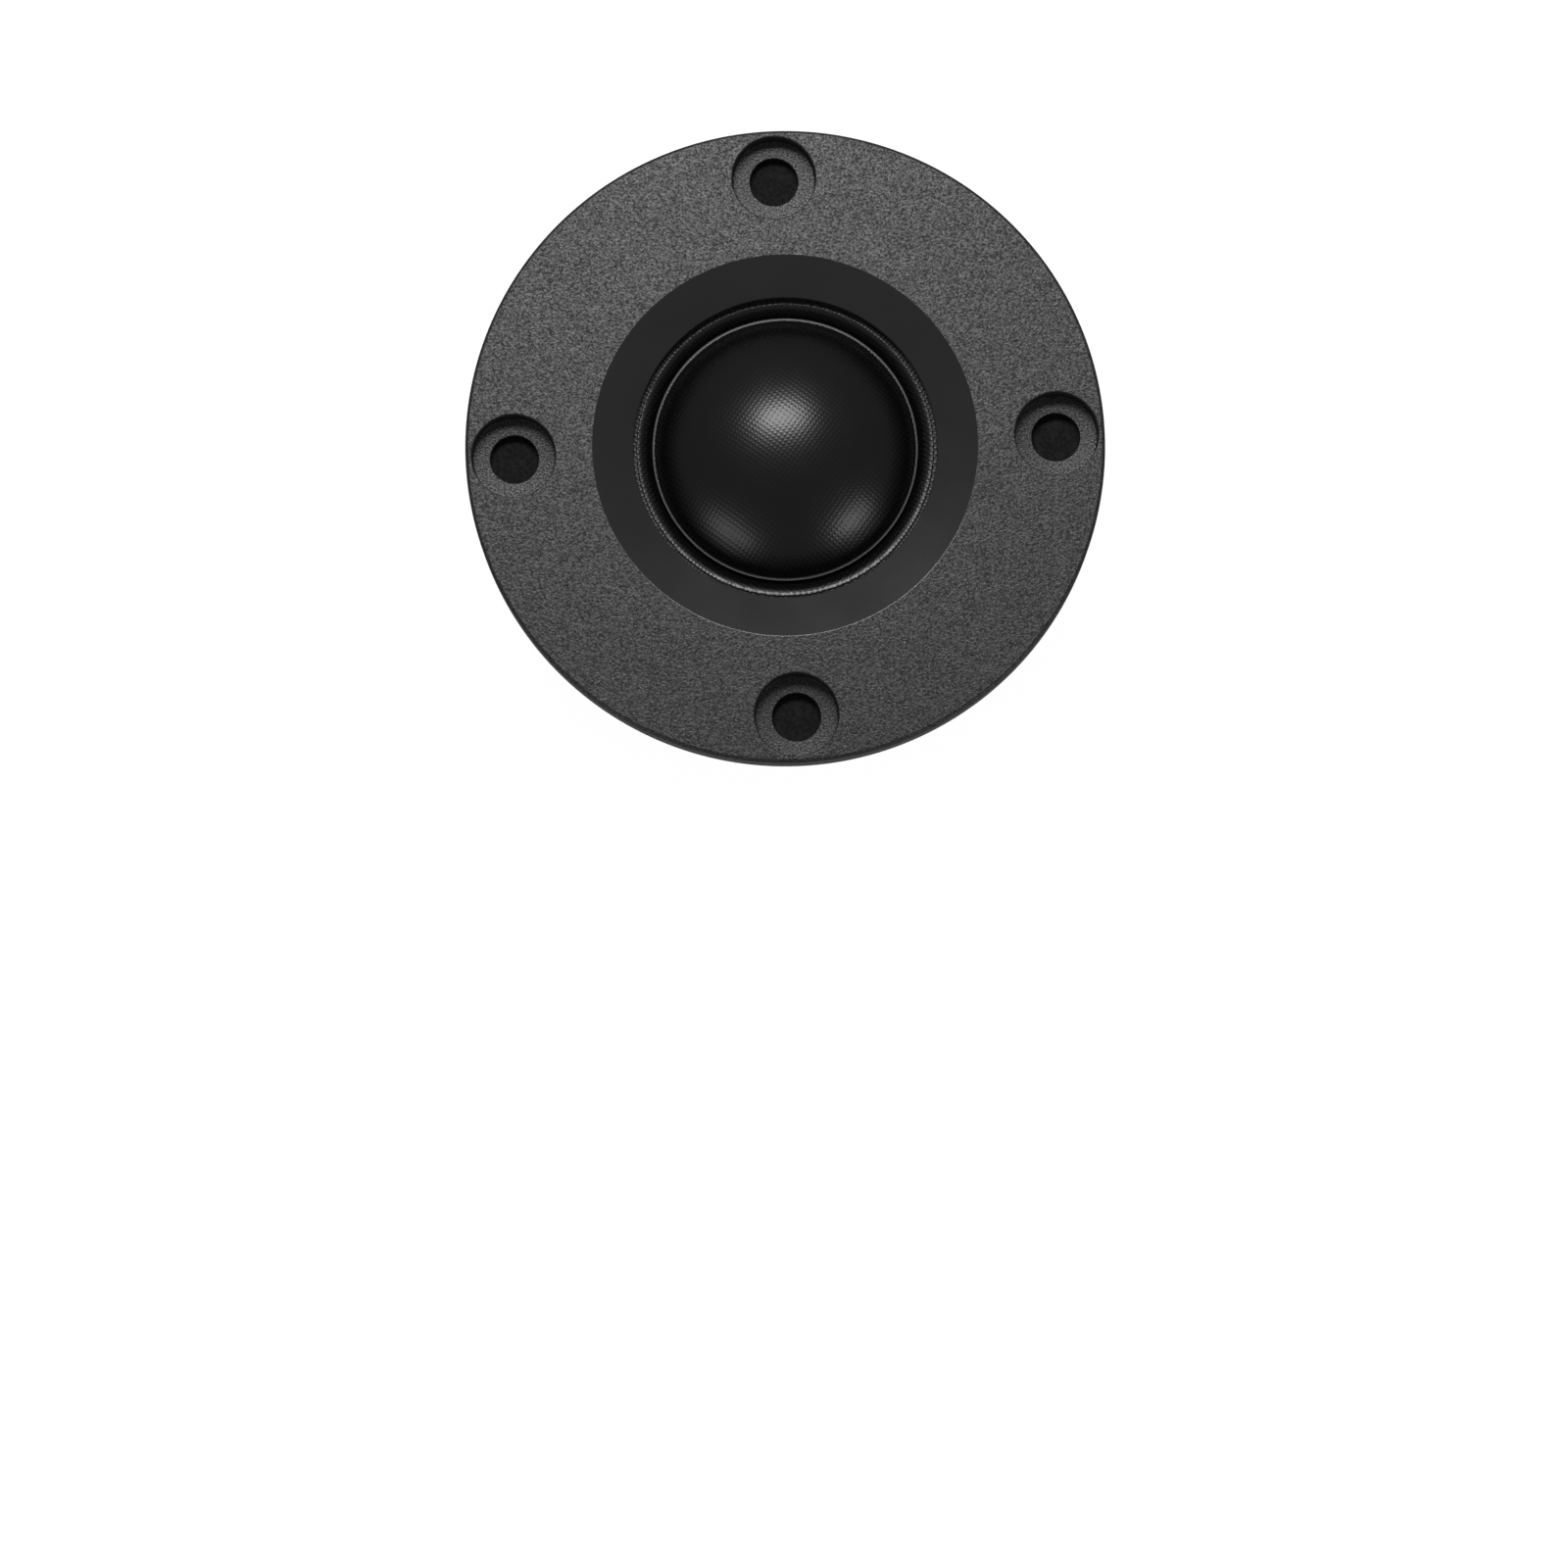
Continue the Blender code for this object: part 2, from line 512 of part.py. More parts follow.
def make_terminals(laminate, brass):
    """The board, and on it a wide positive and a narrow negative blade, each held by a hollow rivet."""
    board_inner = flat_distance + BOND_GAP
    tab_inner = board_inner + BOARD_THICKNESS + BOND_GAP
    half, bevel = BOARD_WIDTH / 2, BOARD_BEVEL
    low, high = TERMINAL_HEIGHT - BOARD_HEIGHT / 2, TERMINAL_HEIGHT + BOARD_HEIGHT / 2
    outline = [(-half + bevel, low), (half - bevel, low), (half, low + bevel), (half, high - bevel),
               (half - bevel, high), (-half + bevel, high), (-half, high - bevel), (-half, low + bevel)]
    # Stands a plate drawn in X and Y upright, so that its Y is up and its thickness runs outwards.
    upright = TERMINAL_TURN @ Matrix(((0, 0, 1, 0), (1, 0, 0, 0), (0, 1, 0, 0), (0, 0, 0, 1)))
    board = plate("terminal_board", outline, board_inner, board_inner + BOARD_THICKNESS, laminate, upright)
    boolean(board, rivet_holes("board_rivet_holes"))

    top = TERMINAL_HEIGHT + TAB_ABOVE_RIVET
    for side, across, width in terminal_sides():
        left, right = across - width / 2, across + width / 2
        blade = [(left + TAB_TIP_BEVEL, TAB_TIP_HEIGHT), (right - TAB_TIP_BEVEL, TAB_TIP_HEIGHT),
                 (right, TAB_TIP_HEIGHT + TAB_TIP_BEVEL), (right, top), (left, top),
                 (left, TAB_TIP_HEIGHT + TAB_TIP_BEVEL)]
        tab = plate(f"terminal_tab_{side}", blade, tab_inner, tab_inner + TAB_THICKNESS, brass, upright)
        boolean(tab, rivet_holes(f"{side}_tab_rivet_hole"))
        dimple_place = facing_out(across) @ Matrix.Translation((TERMINAL_HEIGHT - TAB_DIMPLE_HEIGHT, 0, 0))
        dimple = turned(f"{side}_tab_dimple", disc_outline(TAB_DIMPLE_RADIUS, tab_inner - MM,
                                                           tab_inner + TAB_THICKNESS + MM),
                        steps=SMALL_STEPS, places=[dimple_place])
        boolean(tab, as_cutter(dimple))

        inner = flat_distance - HOUSING_WALL - BOND_GAP - RIVET_HEAD_THICKNESS
        outer = tab_inner + TAB_THICKNESS + BOND_GAP + RIVET_HEAD_THICKNESS
        bore, head = RIVET_RADIUS - RIVET_WALL, RIVET_RADIUS + RIVET_HEAD_WIDTH
        turned(f"terminal_rivet_{side}", [
            (bore, inner), (head, inner), (head, inner + RIVET_HEAD_THICKNESS),
            (RIVET_RADIUS, inner + RIVET_HEAD_THICKNESS), (RIVET_RADIUS, outer - RIVET_HEAD_THICKNESS),
            (head, outer - RIVET_HEAD_THICKNESS), (head, outer), (bore, outer),
        ], brass, SMALL_STEPS, [facing_out(across)])


def main():
    clear_scene()
    black_plastic = material("black moulded plastic", (0.035, 0.035, 0.036), 0.6)
    rear_plastic = material("black housing plastic", (0.025, 0.025, 0.026), 0.5)
    silk = material("coated silk", (0.012, 0.012, 0.013), 0.45)
    foam = material("black foam", (0.02, 0.02, 0.02), 0.95)
    felt = material("grey felt", (0.2, 0.2, 0.19), 0.95)
    aluminium = material("aluminium foil", (0.8, 0.8, 0.8), 0.3, 1.0)
    copper = material("enamelled copper", (0.75, 0.3, 0.12), 0.35, 1.0)
    zinc_steel = material("zinc-plated steel", (0.6, 0.6, 0.58), 0.35, 1.0)
    nickel = material("nickel plating", (0.7, 0.68, 0.63), 0.2, 1.0)
    brass = material("tinned brass", (0.72, 0.68, 0.5), 0.3, 1.0)
    laminate = material("phenolic laminate", (0.2, 0.09, 0.03), 0.5)
    screw_steel = material("black-oxide steel", (0.05, 0.05, 0.05), 0.4, 1.0)

    make_faceplate(black_plastic)
    make_gasket(foam)
    make_dome(silk)
    make_surround(silk)
    make_coil(aluminium, copper)
    make_ring(rear_plastic)
    make_leads(copper)
    make_motor(zinc_steel, nickel, felt, foam)
    make_housing(rear_plastic)
    make_screws(screw_steel)
    make_terminals(laminate, brass)


main()
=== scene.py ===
"""Looks of the soft dome car tweeter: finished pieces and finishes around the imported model.

Metres, +Z up, in the model's own frame: the back rests on z = 0 and the dome faces up.
"""

import json
import math

import bpy
from mathutils import Matrix, Vector
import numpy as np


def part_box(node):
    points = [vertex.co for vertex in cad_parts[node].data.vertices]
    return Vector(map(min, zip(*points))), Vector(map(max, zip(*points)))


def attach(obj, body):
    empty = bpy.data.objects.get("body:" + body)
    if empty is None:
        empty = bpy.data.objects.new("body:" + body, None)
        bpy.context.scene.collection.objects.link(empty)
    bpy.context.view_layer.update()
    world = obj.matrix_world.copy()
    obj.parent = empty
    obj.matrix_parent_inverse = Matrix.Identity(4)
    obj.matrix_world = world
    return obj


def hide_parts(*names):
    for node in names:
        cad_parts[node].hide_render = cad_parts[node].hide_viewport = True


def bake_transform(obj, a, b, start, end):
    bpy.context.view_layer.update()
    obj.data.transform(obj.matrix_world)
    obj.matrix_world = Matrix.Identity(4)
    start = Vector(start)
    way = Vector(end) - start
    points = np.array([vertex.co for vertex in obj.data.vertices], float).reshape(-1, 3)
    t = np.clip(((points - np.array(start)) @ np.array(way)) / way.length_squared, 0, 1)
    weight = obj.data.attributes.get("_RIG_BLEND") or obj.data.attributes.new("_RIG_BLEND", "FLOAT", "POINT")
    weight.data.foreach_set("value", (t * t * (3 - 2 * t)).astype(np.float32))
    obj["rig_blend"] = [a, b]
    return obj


MM = 0.001
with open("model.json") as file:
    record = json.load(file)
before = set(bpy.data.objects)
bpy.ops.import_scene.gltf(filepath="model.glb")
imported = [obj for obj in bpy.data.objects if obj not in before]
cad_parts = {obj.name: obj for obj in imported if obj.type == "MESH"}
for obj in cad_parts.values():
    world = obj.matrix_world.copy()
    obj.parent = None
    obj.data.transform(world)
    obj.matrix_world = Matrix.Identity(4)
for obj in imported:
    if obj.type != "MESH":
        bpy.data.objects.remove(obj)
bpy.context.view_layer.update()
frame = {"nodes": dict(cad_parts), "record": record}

# Sizes that the frame gives
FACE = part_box("faceplate")[1].z
FLANGE_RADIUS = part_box("faceplate")[1].x
BOSS_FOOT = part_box("faceplate")[0].z
DOME_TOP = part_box("dome")[1].z
DOME_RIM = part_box("dome")[1].x
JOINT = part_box("dome")[0].z
ROLL_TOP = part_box("surround")[1].z
CLAMP_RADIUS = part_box("surround")[1].x
GASKET_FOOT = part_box("mounting_gasket")[0].z
HOUSING_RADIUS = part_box("rear_housing")[1].x
HOUSING_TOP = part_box("rear_housing")[1].z
FLAT = -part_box("rear_housing")[0].y
SEATS = {m["name"]: Vector(m["pos_m"]) for m in frame["record"]["mounts"]}
HOLE_CIRCLE = SEATS["screw_seat_right"].x
SEAT_FLOOR = SEATS["screw_seat_right"].z
RIVET_HEIGHT = (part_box("terminal_board")[0].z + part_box("terminal_board")[1].z) / 2
BLADES = {side: SEATS[f"{side}_blade"].x for side in ("positive", "negative")}

# Sizes of the mouldings
FLANGE_THICKNESS = 3.5 * MM
FLANGE_FOOT = FACE - FLANGE_THICKNESS
LIP_RADIUS = 15.45 * MM
LIP_HEIGHT = FACE - 1.55 * MM
LIP_FOOT = LIP_HEIGHT - 1.2 * MM
LIP_ROUND = 0.14 * MM
REBATE_RADIUS = 17.5 * MM
RECESS_RADIUS = 19.6 * MM
HOLE_RADIUS = 2.45 * MM
COUNTERBORE_RADIUS = 4.25 * MM
HOLE_EASE = 0.14 * MM
BOSS_RADIUS = 2.1 * MM
BOSS_CLEARANCE = 0.3 * MM
PILOT_RADIUS = 1.15 * MM
PILOT_DEPTH = 4.7 * MM
COLUMN_CIRCLE = 20.1 * MM
COLUMN_RADIUS = 3.0 * MM
WELL_RADIUS = 2.1 * MM
HOUSING_WALL = 1.5 * MM
HOUSING_FLOOR = 1.8 * MM
COLUMN_TOP = BOSS_FOOT - 0.3 * MM
WEB_FOOT = COLUMN_TOP - 2.0 * MM
YOKE_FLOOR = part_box("magnet")[0].z - 0.3 * MM
YOKE_BORE = 13.8 * MM
FORMER_BORE = 12.7 * MM
WINDING_BORE = 13.0 * MM
RING_BORE = 15.6 * MM
LEAD_NOTCH_WIDTH = 1.2 * MM
LEAD_NOTCH_HEIGHT = 1.0 * MM
GASKET_HOUSING_CLEARANCE = 1.2 * MM
GASKET_SETBACK = 0.5 * MM

# Sizes of the screws, the rivets and their holes
SHANK_RADIUS = 1.0 * MM
SHANK_HOLE_RADIUS = 1.3 * MM
SCREW_HEAD_RADIUS = 1.8 * MM
SCREW_HEAD_CLEARANCE = 0.15 * MM
RIVET_SHANK_RADIUS = 0.8 * MM
RIVET_BORE = 0.5 * MM
RIVET_HEAD_RADIUS = 1.3 * MM
RIVET_HEAD = 0.3 * MM
BOARD_HOLE_RADIUS = 0.9 * MM
RIVET_HOLE_RADIUS = 0.95 * MM
DIMPLE_RADIUS = 0.6 * MM
DIMPLE_HEIGHT = 3.8 * MM

# Sizes of the diaphragm. The roll's crest lies close to the lip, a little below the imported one's.
SILK = 0.13 * MM
JOINT_RADIUS = 13.52 * MM
CROWN_RADIUS = 15.08 * MM
CROWN_HEIGHT = ROLL_TOP - 0.12 * MM
ROLL_ROUND = 1.1 * MM
ROLL_SLOPE = math.radians(36)
ROLL_NOSE = 0.06 * MM

# Steps round a moulding and round a part of the motor, and the size below which a cut's slivers go
RING_STEPS = 224
MOTOR_STEPS = 160
TINY = 0.001 * MM
QUARTERS = [Matrix.Rotation(math.pi / 2 * i, 4, "Z") for i in range(4)]
EIGHTH = Matrix.Rotation(math.pi / 4, 4, "Z")
COLUMN_PLACES = [turn @ EIGHTH @ Matrix.Translation((COLUMN_CIRCLE, 0, 0)) for turn in QUARTERS]
HOLE_PLACES = [turn @ Matrix.Translation((HOLE_CIRCLE, 0, 0)) for turn in QUARTERS]


# Tools -------------------------------------------------------------------------------------------------


def linear(hex_colour):
    """Turns an sRGB hex colour into the linear values that a shader takes."""
    parts = [int(hex_colour[i : i + 2], 16) / 255 for i in (1, 3, 5)]
    return (*[p / 12.92 if p <= 0.04045 else ((p + 0.055) / 1.055) ** 2.4 for p in parts], 1.0)


def add_node(tree, kind, inputs=None, links=None, **settings):
    """Adds a node: settings are its own options, inputs are socket values and links are sockets to feed."""
    made = tree.nodes.new(kind)
    for name, value in settings.items():
        setattr(made, name, value)
    for socket, value in (inputs or {}).items():
        made.inputs[socket].default_value = value
    for socket, source in (links or {}).items():
        tree.links.new(source, made.inputs[socket])
    return made


def new_material(name, **sockets):
    """A material with one Principled shader, whose uniform values are set on its own sockets."""
    made = bpy.data.materials.new(name)
    made.use_nodes = True
    shader = made.node_tree.nodes["Principled BSDF"]
    for socket, value in sockets.items():
        shader.inputs[socket.replace("_", " ")].default_value = value
    return made, made.node_tree, shader


def feed(tree, shader, **sources):
    """Links a pattern's outputs to the shader's sockets."""
    for socket, source in sources.items():
        tree.links.new(source, shader.inputs[socket.replace("_", " ")])


def filleted(corners, steps=6):
    """Rounds an outline's corners. Each corner is (radius, height, fillet)."""
    points = []
    for i, (x, y, fillet) in enumerate(corners):
        here = Vector((x, y))
        if not fillet:
            points.append((x, y))
            continue
        before = (Vector(corners[i - 1][:2]) - here).normalized()
        after = (Vector(corners[(i + 1) % len(corners)][:2]) - here).normalized()
        half = before.angle(after) / 2
        centre = here + (before + after).normalized() * fillet / math.sin(half)
        start = here + before * fillet / math.tan(half) - centre
        end = here + after * fillet / math.tan(half) - centre
        first = math.atan2(start.y, start.x)
        sweep = math.remainder(math.atan2(end.y, end.x) - first, 2 * math.pi)
        for step in range(steps + 1):
            angle = first + sweep * step / steps
            points.append((centre.x + fillet * math.cos(angle), centre.y + fillet * math.sin(angle)))
    return points


def start_editing(select="DESELECT"):
    bpy.ops.object.mode_set(mode="EDIT")
    bpy.ops.mesh.select_all(action=select)


def stop_editing():
    bpy.ops.object.mode_set(mode="OBJECT")


def only(piece):
    """Makes a piece the only selected and active one."""
    bpy.ops.object.select_all(action="DESELECT")
    piece.select_set(True)
    bpy.context.view_layer.objects.active = piece


def turned(name, outline, steps=RING_STEPS, ends="joined"):
    """Draws a circle at an outline's first point, and extrudes and scales it from point to point.

    Its ends are joined to each other, filled, or left open. A point at radius 0 is a pole.
    """
    bpy.ops.object.select_all(action="DESELECT")
    radius, height = outline[0]
    bpy.ops.mesh.primitive_circle_add(vertices=steps, radius=radius, location=(0, 0, height))
    piece = bpy.context.object
    piece.name = name
    start_editing("SELECT")
    for next_radius, next_height in outline[1:] + (outline[:1] if ends == "joined" else []):
        bpy.ops.mesh.extrude_edges_move(TRANSFORM_OT_translate={"value": (0, 0, next_height - height)})
        if next_radius < 1e-9:
            bpy.ops.mesh.merge(type="CENTER")
            break
        scale = next_radius / radius
        if abs(scale - 1) > 1e-9:
            bpy.ops.transform.resize(value=(scale, scale, 1), center_override=(0, 0, next_height))
        radius, height = next_radius, next_height
    bpy.ops.mesh.select_all(action="SELECT")
    if ends == "joined":
        bpy.ops.mesh.remove_doubles(threshold=1e-7)
    elif ends == "filled":
        bpy.ops.mesh.fill_holes(sides=0)
    bpy.ops.mesh.normals_make_consistent(inside=False)
    stop_editing()
    bpy.ops.object.transform_apply(location=True, rotation=True, scale=True)
    return piece


def box_piece(name, low, high):
    """A block between two corners."""
    bpy.ops.object.select_all(action="DESELECT")
    low, high = Vector(low), Vector(high)
    bpy.ops.mesh.primitive_cube_add(size=1, location=(low + high) / 2)
    piece = bpy.context.object
    piece.name = name
    piece.scale = high - low
    bpy.ops.object.transform_apply(location=True, rotation=True, scale=True)
    return piece


def through_flat(name, outline, across, height, ends="filled"):
    """A turned shape whose axis runs out through the terminal flat."""
    made = turned(name, outline, 48, ends)
    made.data.transform(Matrix.Translation((across, 0, height)) @ Matrix.Rotation(math.pi / 2, 4, "X"))
    return made


def bevel_edges(piece, width, steps, wanted):
    """Bevels the edges whose two ends meet a condition."""
    only(piece)
    start_editing()
    bpy.ops.mesh.select_mode(type="EDGE")
    stop_editing()
    for edge in piece.data.edges:
        edge.select = wanted(*[piece.data.vertices[v].co for v in edge.vertices])
    bpy.ops.object.mode_set(mode="EDIT")
    bpy.ops.mesh.bevel(offset=width, segments=steps)
    bpy.ops.mesh.select_mode(type="VERT")
    stop_editing()


def finish_with(piece, kind, **settings):
    """Adds a modifier and applies it."""
    only(piece)
    made = piece.modifiers.new(kind.title(), kind)
    for name, value in settings.items():
        setattr(made, name, value)
    bpy.ops.object.modifier_apply(modifier=made.name)


def copy_of(piece, name, place):
    """A copy with its own mesh, moved by a matrix that goes into that mesh."""
    made = piece.copy()
    made.data = piece.data.copy()
    made.name = name
    bpy.context.scene.collection.objects.link(made)
    made.data.transform(place)
    return made


def combine(piece, other, operation="DIFFERENCE"):
    """Cuts a piece with another, or joins them, removes the other one and clears slivers."""
    finish_with(piece, "BOOLEAN", operation=operation, solver="EXACT", object=other)
    bpy.data.objects.remove(other)
    start_editing("SELECT")
    bpy.ops.mesh.remove_doubles(threshold=TINY)
    bpy.ops.mesh.dissolve_degenerate(threshold=TINY)
    stop_editing()


def combine_at(piece, other, places, operation="DIFFERENCE"):
    """Cuts a piece with, or joins to it, one copy of another at each place."""
    for place in places:
        combine(piece, copy_of(other, "tool", place), operation)
    bpy.data.objects.remove(other)


def shade(piece, degrees=30):
    """Smooth shading up to an angle. Large faces keep their own normals, so flats stay flat."""
    only(piece)
    bpy.ops.object.shade_smooth_by_angle(angle=math.radians(degrees))
    finish_with(piece, "WEIGHTED_NORMAL", weight=100, keep_sharp=True)


def dress(piece, body, materials, slot, *nodes):
    """Gives a finished piece its materials and its body, and hides the nodes that it stands for. The slot
    argument is not used.
    """
    for material in materials:
        piece.data.materials.append(material)
    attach(piece, body)
    if nodes:
        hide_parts(*nodes)


# Finishes ----------------------------------------------------------------------------------------------


def grained_abs():
    """Black ABS moulded in a spark-eroded mould: a coarse, dull sand grain that breaks up every highlight."""
    made, tree, shader = new_material("grained ABS", IOR=1.52)
    place = add_node(tree, "ShaderNodeTexCoord")
    # The grain is about 0.1 mm wide on the real moulding, and is drawn 0.2 mm wide so that it shows.
    grain = add_node(tree, "ShaderNodeTexNoise", {"Scale": 1 / (0.2 * MM), "Detail": 1.5, "Roughness": 0.5},
                     {"Vector": place.outputs["Object"]})
    bump = add_node(tree, "ShaderNodeBump", {"Strength": 1.0, "Distance": 0.04 * MM},
                    {"Height": grain.outputs["Fac"]})
    # The pits between the grains shade themselves, so they shine less than the tops.
    shine = add_node(tree, "ShaderNodeMapRange", {"From Min": 0.3, "From Max": 0.7, "To Min": 0.18,
                                                  "To Max": 0.72}, {"Value": grain.outputs["Fac"]})
    tint = add_node(tree, "ShaderNodeValToRGB", None, {"Fac": grain.outputs["Fac"]})
    tint.color_ramp.elements[0].position = 0.3
    tint.color_ramp.elements[0].color = linear("#151516")
    tint.color_ramp.elements[1].position = 0.75
    tint.color_ramp.elements[1].color = linear("#212122")
    dull = add_node(tree, "ShaderNodeMapRange", {"From Min": 0.3, "From Max": 0.7, "To Min": 0.52,
                                                 "To Max": 0.4}, {"Value": grain.outputs["Fac"]})
    feed(tree, shader, Base_Color=tint.outputs["Color"], Roughness=dull.outputs["Result"],
         Specular_IOR_Level=shine.outputs["Result"], Normal=bump.outputs["Normal"])
    return made


def smooth_abs():
    """The same ABS against polished steel: an even satin black with only a faint flow texture."""
    made, tree, shader = new_material("smooth ABS", IOR=1.52)
    place = add_node(tree, "ShaderNodeTexCoord")
    flow = add_node(tree, "ShaderNodeTexNoise", {"Scale": 1 / (0.35 * MM), "Detail": 2.0},
                    {"Vector": place.outputs["Object"]})
    haze = add_node(tree, "ShaderNodeTexNoise", {"Scale": 1 / (6 * MM), "Detail": 3.0},
                    {"Vector": place.outputs["Object"]})
    bump = add_node(tree, "ShaderNodeBump", {"Strength": 0.5, "Distance": 0.006 * MM},
                    {"Height": flow.outputs["Fac"]})
    gloss = add_node(tree, "ShaderNodeMapRange", {"To Min": 0.19, "To Max": 0.26},
                     {"Value": haze.outputs["Fac"]})
    tint = add_node(tree, "ShaderNodeMix", {"A": linear("#1a1a1b"), "B": linear("#212122")},
                    {"Factor": haze.outputs["Fac"]}, data_type="RGBA")
    feed(tree, shader, Base_Color=tint.outputs["Result"], Roughness=gloss.outputs["Result"],
         Normal=bump.outputs["Normal"])
    return made


def coated_silk():
    """Black silk pressed to shape and brushed with a damping coat: the weave shows through a satin skin."""
    made, tree, shader = new_material("coated silk", IOR=1.47)
    place = add_node(tree, "ShaderNodeTexCoord")
    laid = add_node(tree, "ShaderNodeMapping", {"Rotation": (0, 0, math.radians(38))},
                    {"Vector": place.outputs["Object"]})
    # Threads are 0.1 mm apart on the real silk, and are drawn 0.42 mm apart so that they show.
    pitch = 2 * math.pi / 20 / (0.42 * MM)
    threads = [add_node(tree, "ShaderNodeTexWave", {"Scale": pitch, "Distortion": 0.35, "Detail": 1.0,
                                                    "Detail Scale": 0.4},
                        {"Vector": laid.outputs["Vector"]}, bands_direction=way) for way in ("X", "Y")]
    weave = add_node(tree, "ShaderNodeMath", None,
                     {0: threads[0].outputs["Fac"], 1: threads[1].outputs["Fac"]}, operation="MULTIPLY")
    bump = add_node(tree, "ShaderNodeBump", {"Strength": 1.0, "Distance": 0.012 * MM},
                    {"Height": weave.outputs[0]})
    coat = add_node(tree, "ShaderNodeTexNoise", {"Scale": 1 / (2.5 * MM), "Detail": 3.0},
                    {"Vector": place.outputs["Object"]})
    gloss = add_node(tree, "ShaderNodeMapRange", {"To Min": 0.27, "To Max": 0.35},
                     {"Value": coat.outputs["Fac"]})
    tint = add_node(tree, "ShaderNodeMix", {"A": linear("#030303"), "B": linear("#080809")},
                    {"Factor": weave.outputs[0]}, data_type="RGBA")
    feed(tree, shader, Base_Color=tint.outputs["Result"], Roughness=gloss.outputs["Result"],
         Normal=bump.outputs["Normal"])
    return made


def bare_silk():
    """The silk's cut edge, which the damping coat doesn't reach: the same threads, but dull and dry."""
    made, tree, shader = new_material("bare silk", IOR=1.5)
    place = add_node(tree, "ShaderNodeTexCoord")
    fibres = add_node(tree, "ShaderNodeTexNoise", {"Scale": 1 / (0.12 * MM), "Detail": 2.0},
                      {"Vector": place.outputs["Object"]})
    bump = add_node(tree, "ShaderNodeBump", {"Strength": 0.6, "Distance": 0.01 * MM},
                    {"Height": fibres.outputs["Fac"]})
    gloss = add_node(tree, "ShaderNodeMapRange", {"To Min": 0.44, "To Max": 0.52},
                     {"Value": fibres.outputs["Fac"]})
    tint = add_node(tree, "ShaderNodeMix", {"A": linear("#1a1a1b"), "B": linear("#29292a")},
                    {"Factor": fibres.outputs["Fac"]}, data_type="RGBA")
    feed(tree, shader, Base_Color=tint.outputs["Result"], Roughness=gloss.outputs["Result"],
         Normal=bump.outputs["Normal"])
    return made


def closed_cell_foam():
    """Black closed-cell foam, sliced from a block: small open cells on a dead matt skin."""
    made, tree, shader = new_material("closed-cell foam", Roughness=0.95, IOR=1.45, Specular_IOR_Level=0.2)
    place = add_node(tree, "ShaderNodeTexCoord")
    cells = add_node(tree, "ShaderNodeTexVoronoi", {"Scale": 1 / (0.38 * MM)},
                     {"Vector": place.outputs["Object"]}, feature="F1")
    bump = add_node(tree, "ShaderNodeBump", {"Strength": 0.8, "Distance": 0.08 * MM},
                    {"Height": cells.outputs["Distance"]})
    tint = add_node(tree, "ShaderNodeValToRGB", None, {"Fac": cells.outputs["Distance"]})
    tint.color_ramp.elements[0].color = linear("#0e0e0e")
    tint.color_ramp.elements[1].color = linear("#242424")
    feed(tree, shader, Base_Color=tint.outputs["Color"], Normal=bump.outputs["Normal"])
    return made


def glass_filled_nylon():
    """Black glass-filled nylon: satin, with a faint mottle where the glass comes near the skin."""
    made, tree, shader = new_material("glass-filled nylon", IOR=1.53)
    place = add_node(tree, "ShaderNodeTexCoord")
    mottle = add_node(tree, "ShaderNodeTexNoise", {"Scale": 1 / (0.8 * MM), "Detail": 4.0, "Roughness": 0.65},
                      {"Vector": place.outputs["Object"]})
    fine = add_node(tree, "ShaderNodeTexNoise", {"Scale": 1 / (0.25 * MM), "Detail": 1.0},
                    {"Vector": place.outputs["Object"]})
    bump = add_node(tree, "ShaderNodeBump", {"Strength": 0.6, "Distance": 0.012 * MM},
                    {"Height": fine.outputs["Fac"]})
    gloss = add_node(tree, "ShaderNodeMapRange", {"To Min": 0.38, "To Max": 0.58},
                     {"Value": mottle.outputs["Fac"]})
    tint = add_node(tree, "ShaderNodeMix", {"A": linear("#17181a"), "B": linear("#242527")},
                    {"Factor": mottle.outputs["Fac"]}, data_type="RGBA")
    feed(tree, shader, Base_Color=tint.outputs["Result"], Roughness=gloss.outputs["Result"],
         Normal=bump.outputs["Normal"])
    return made


def turned_metal(name, dark, light, roughness, groove):
    """A plated, lathe-turned metal: the rings that the tool's feed leaves catch the light.

    Real rings are about 0.1 mm apart, and the groove is drawn wider so that it shows.
    """
    made, tree, shader = new_material(name, Metallic=1.0)
    place = add_node(tree, "ShaderNodeTexCoord")
    rings = add_node(tree, "ShaderNodeTexWave", {"Scale": 2 * math.pi / 20 / groove, "Distortion": 0.6,
                                                 "Detail": 2.0, "Detail Scale": 1.5},
                     {"Vector": place.outputs["Object"]}, wave_type="RINGS", rings_direction="Z")
    mottle = add_node(tree, "ShaderNodeTexNoise", {"Scale": 1 / (1.6 * MM), "Detail": 3.0},
                      {"Vector": place.outputs["Object"]})
    bump = add_node(tree, "ShaderNodeBump", {"Strength": 0.4, "Distance": 0.01 * MM},
                    {"Height": rings.outputs["Fac"]})
    gloss = add_node(tree, "ShaderNodeMapRange", {"To Min": roughness * 0.8, "To Max": roughness * 1.3},
                     {"Value": mottle.outputs["Fac"]})
    tint = add_node(tree, "ShaderNodeMix", {"A": linear(dark), "B": linear(light)},
                    {"Factor": mottle.outputs["Fac"]}, data_type="RGBA")
    feed(tree, shader, Base_Color=tint.outputs["Result"], Roughness=gloss.outputs["Result"],
         Normal=bump.outputs["Normal"])
    return made


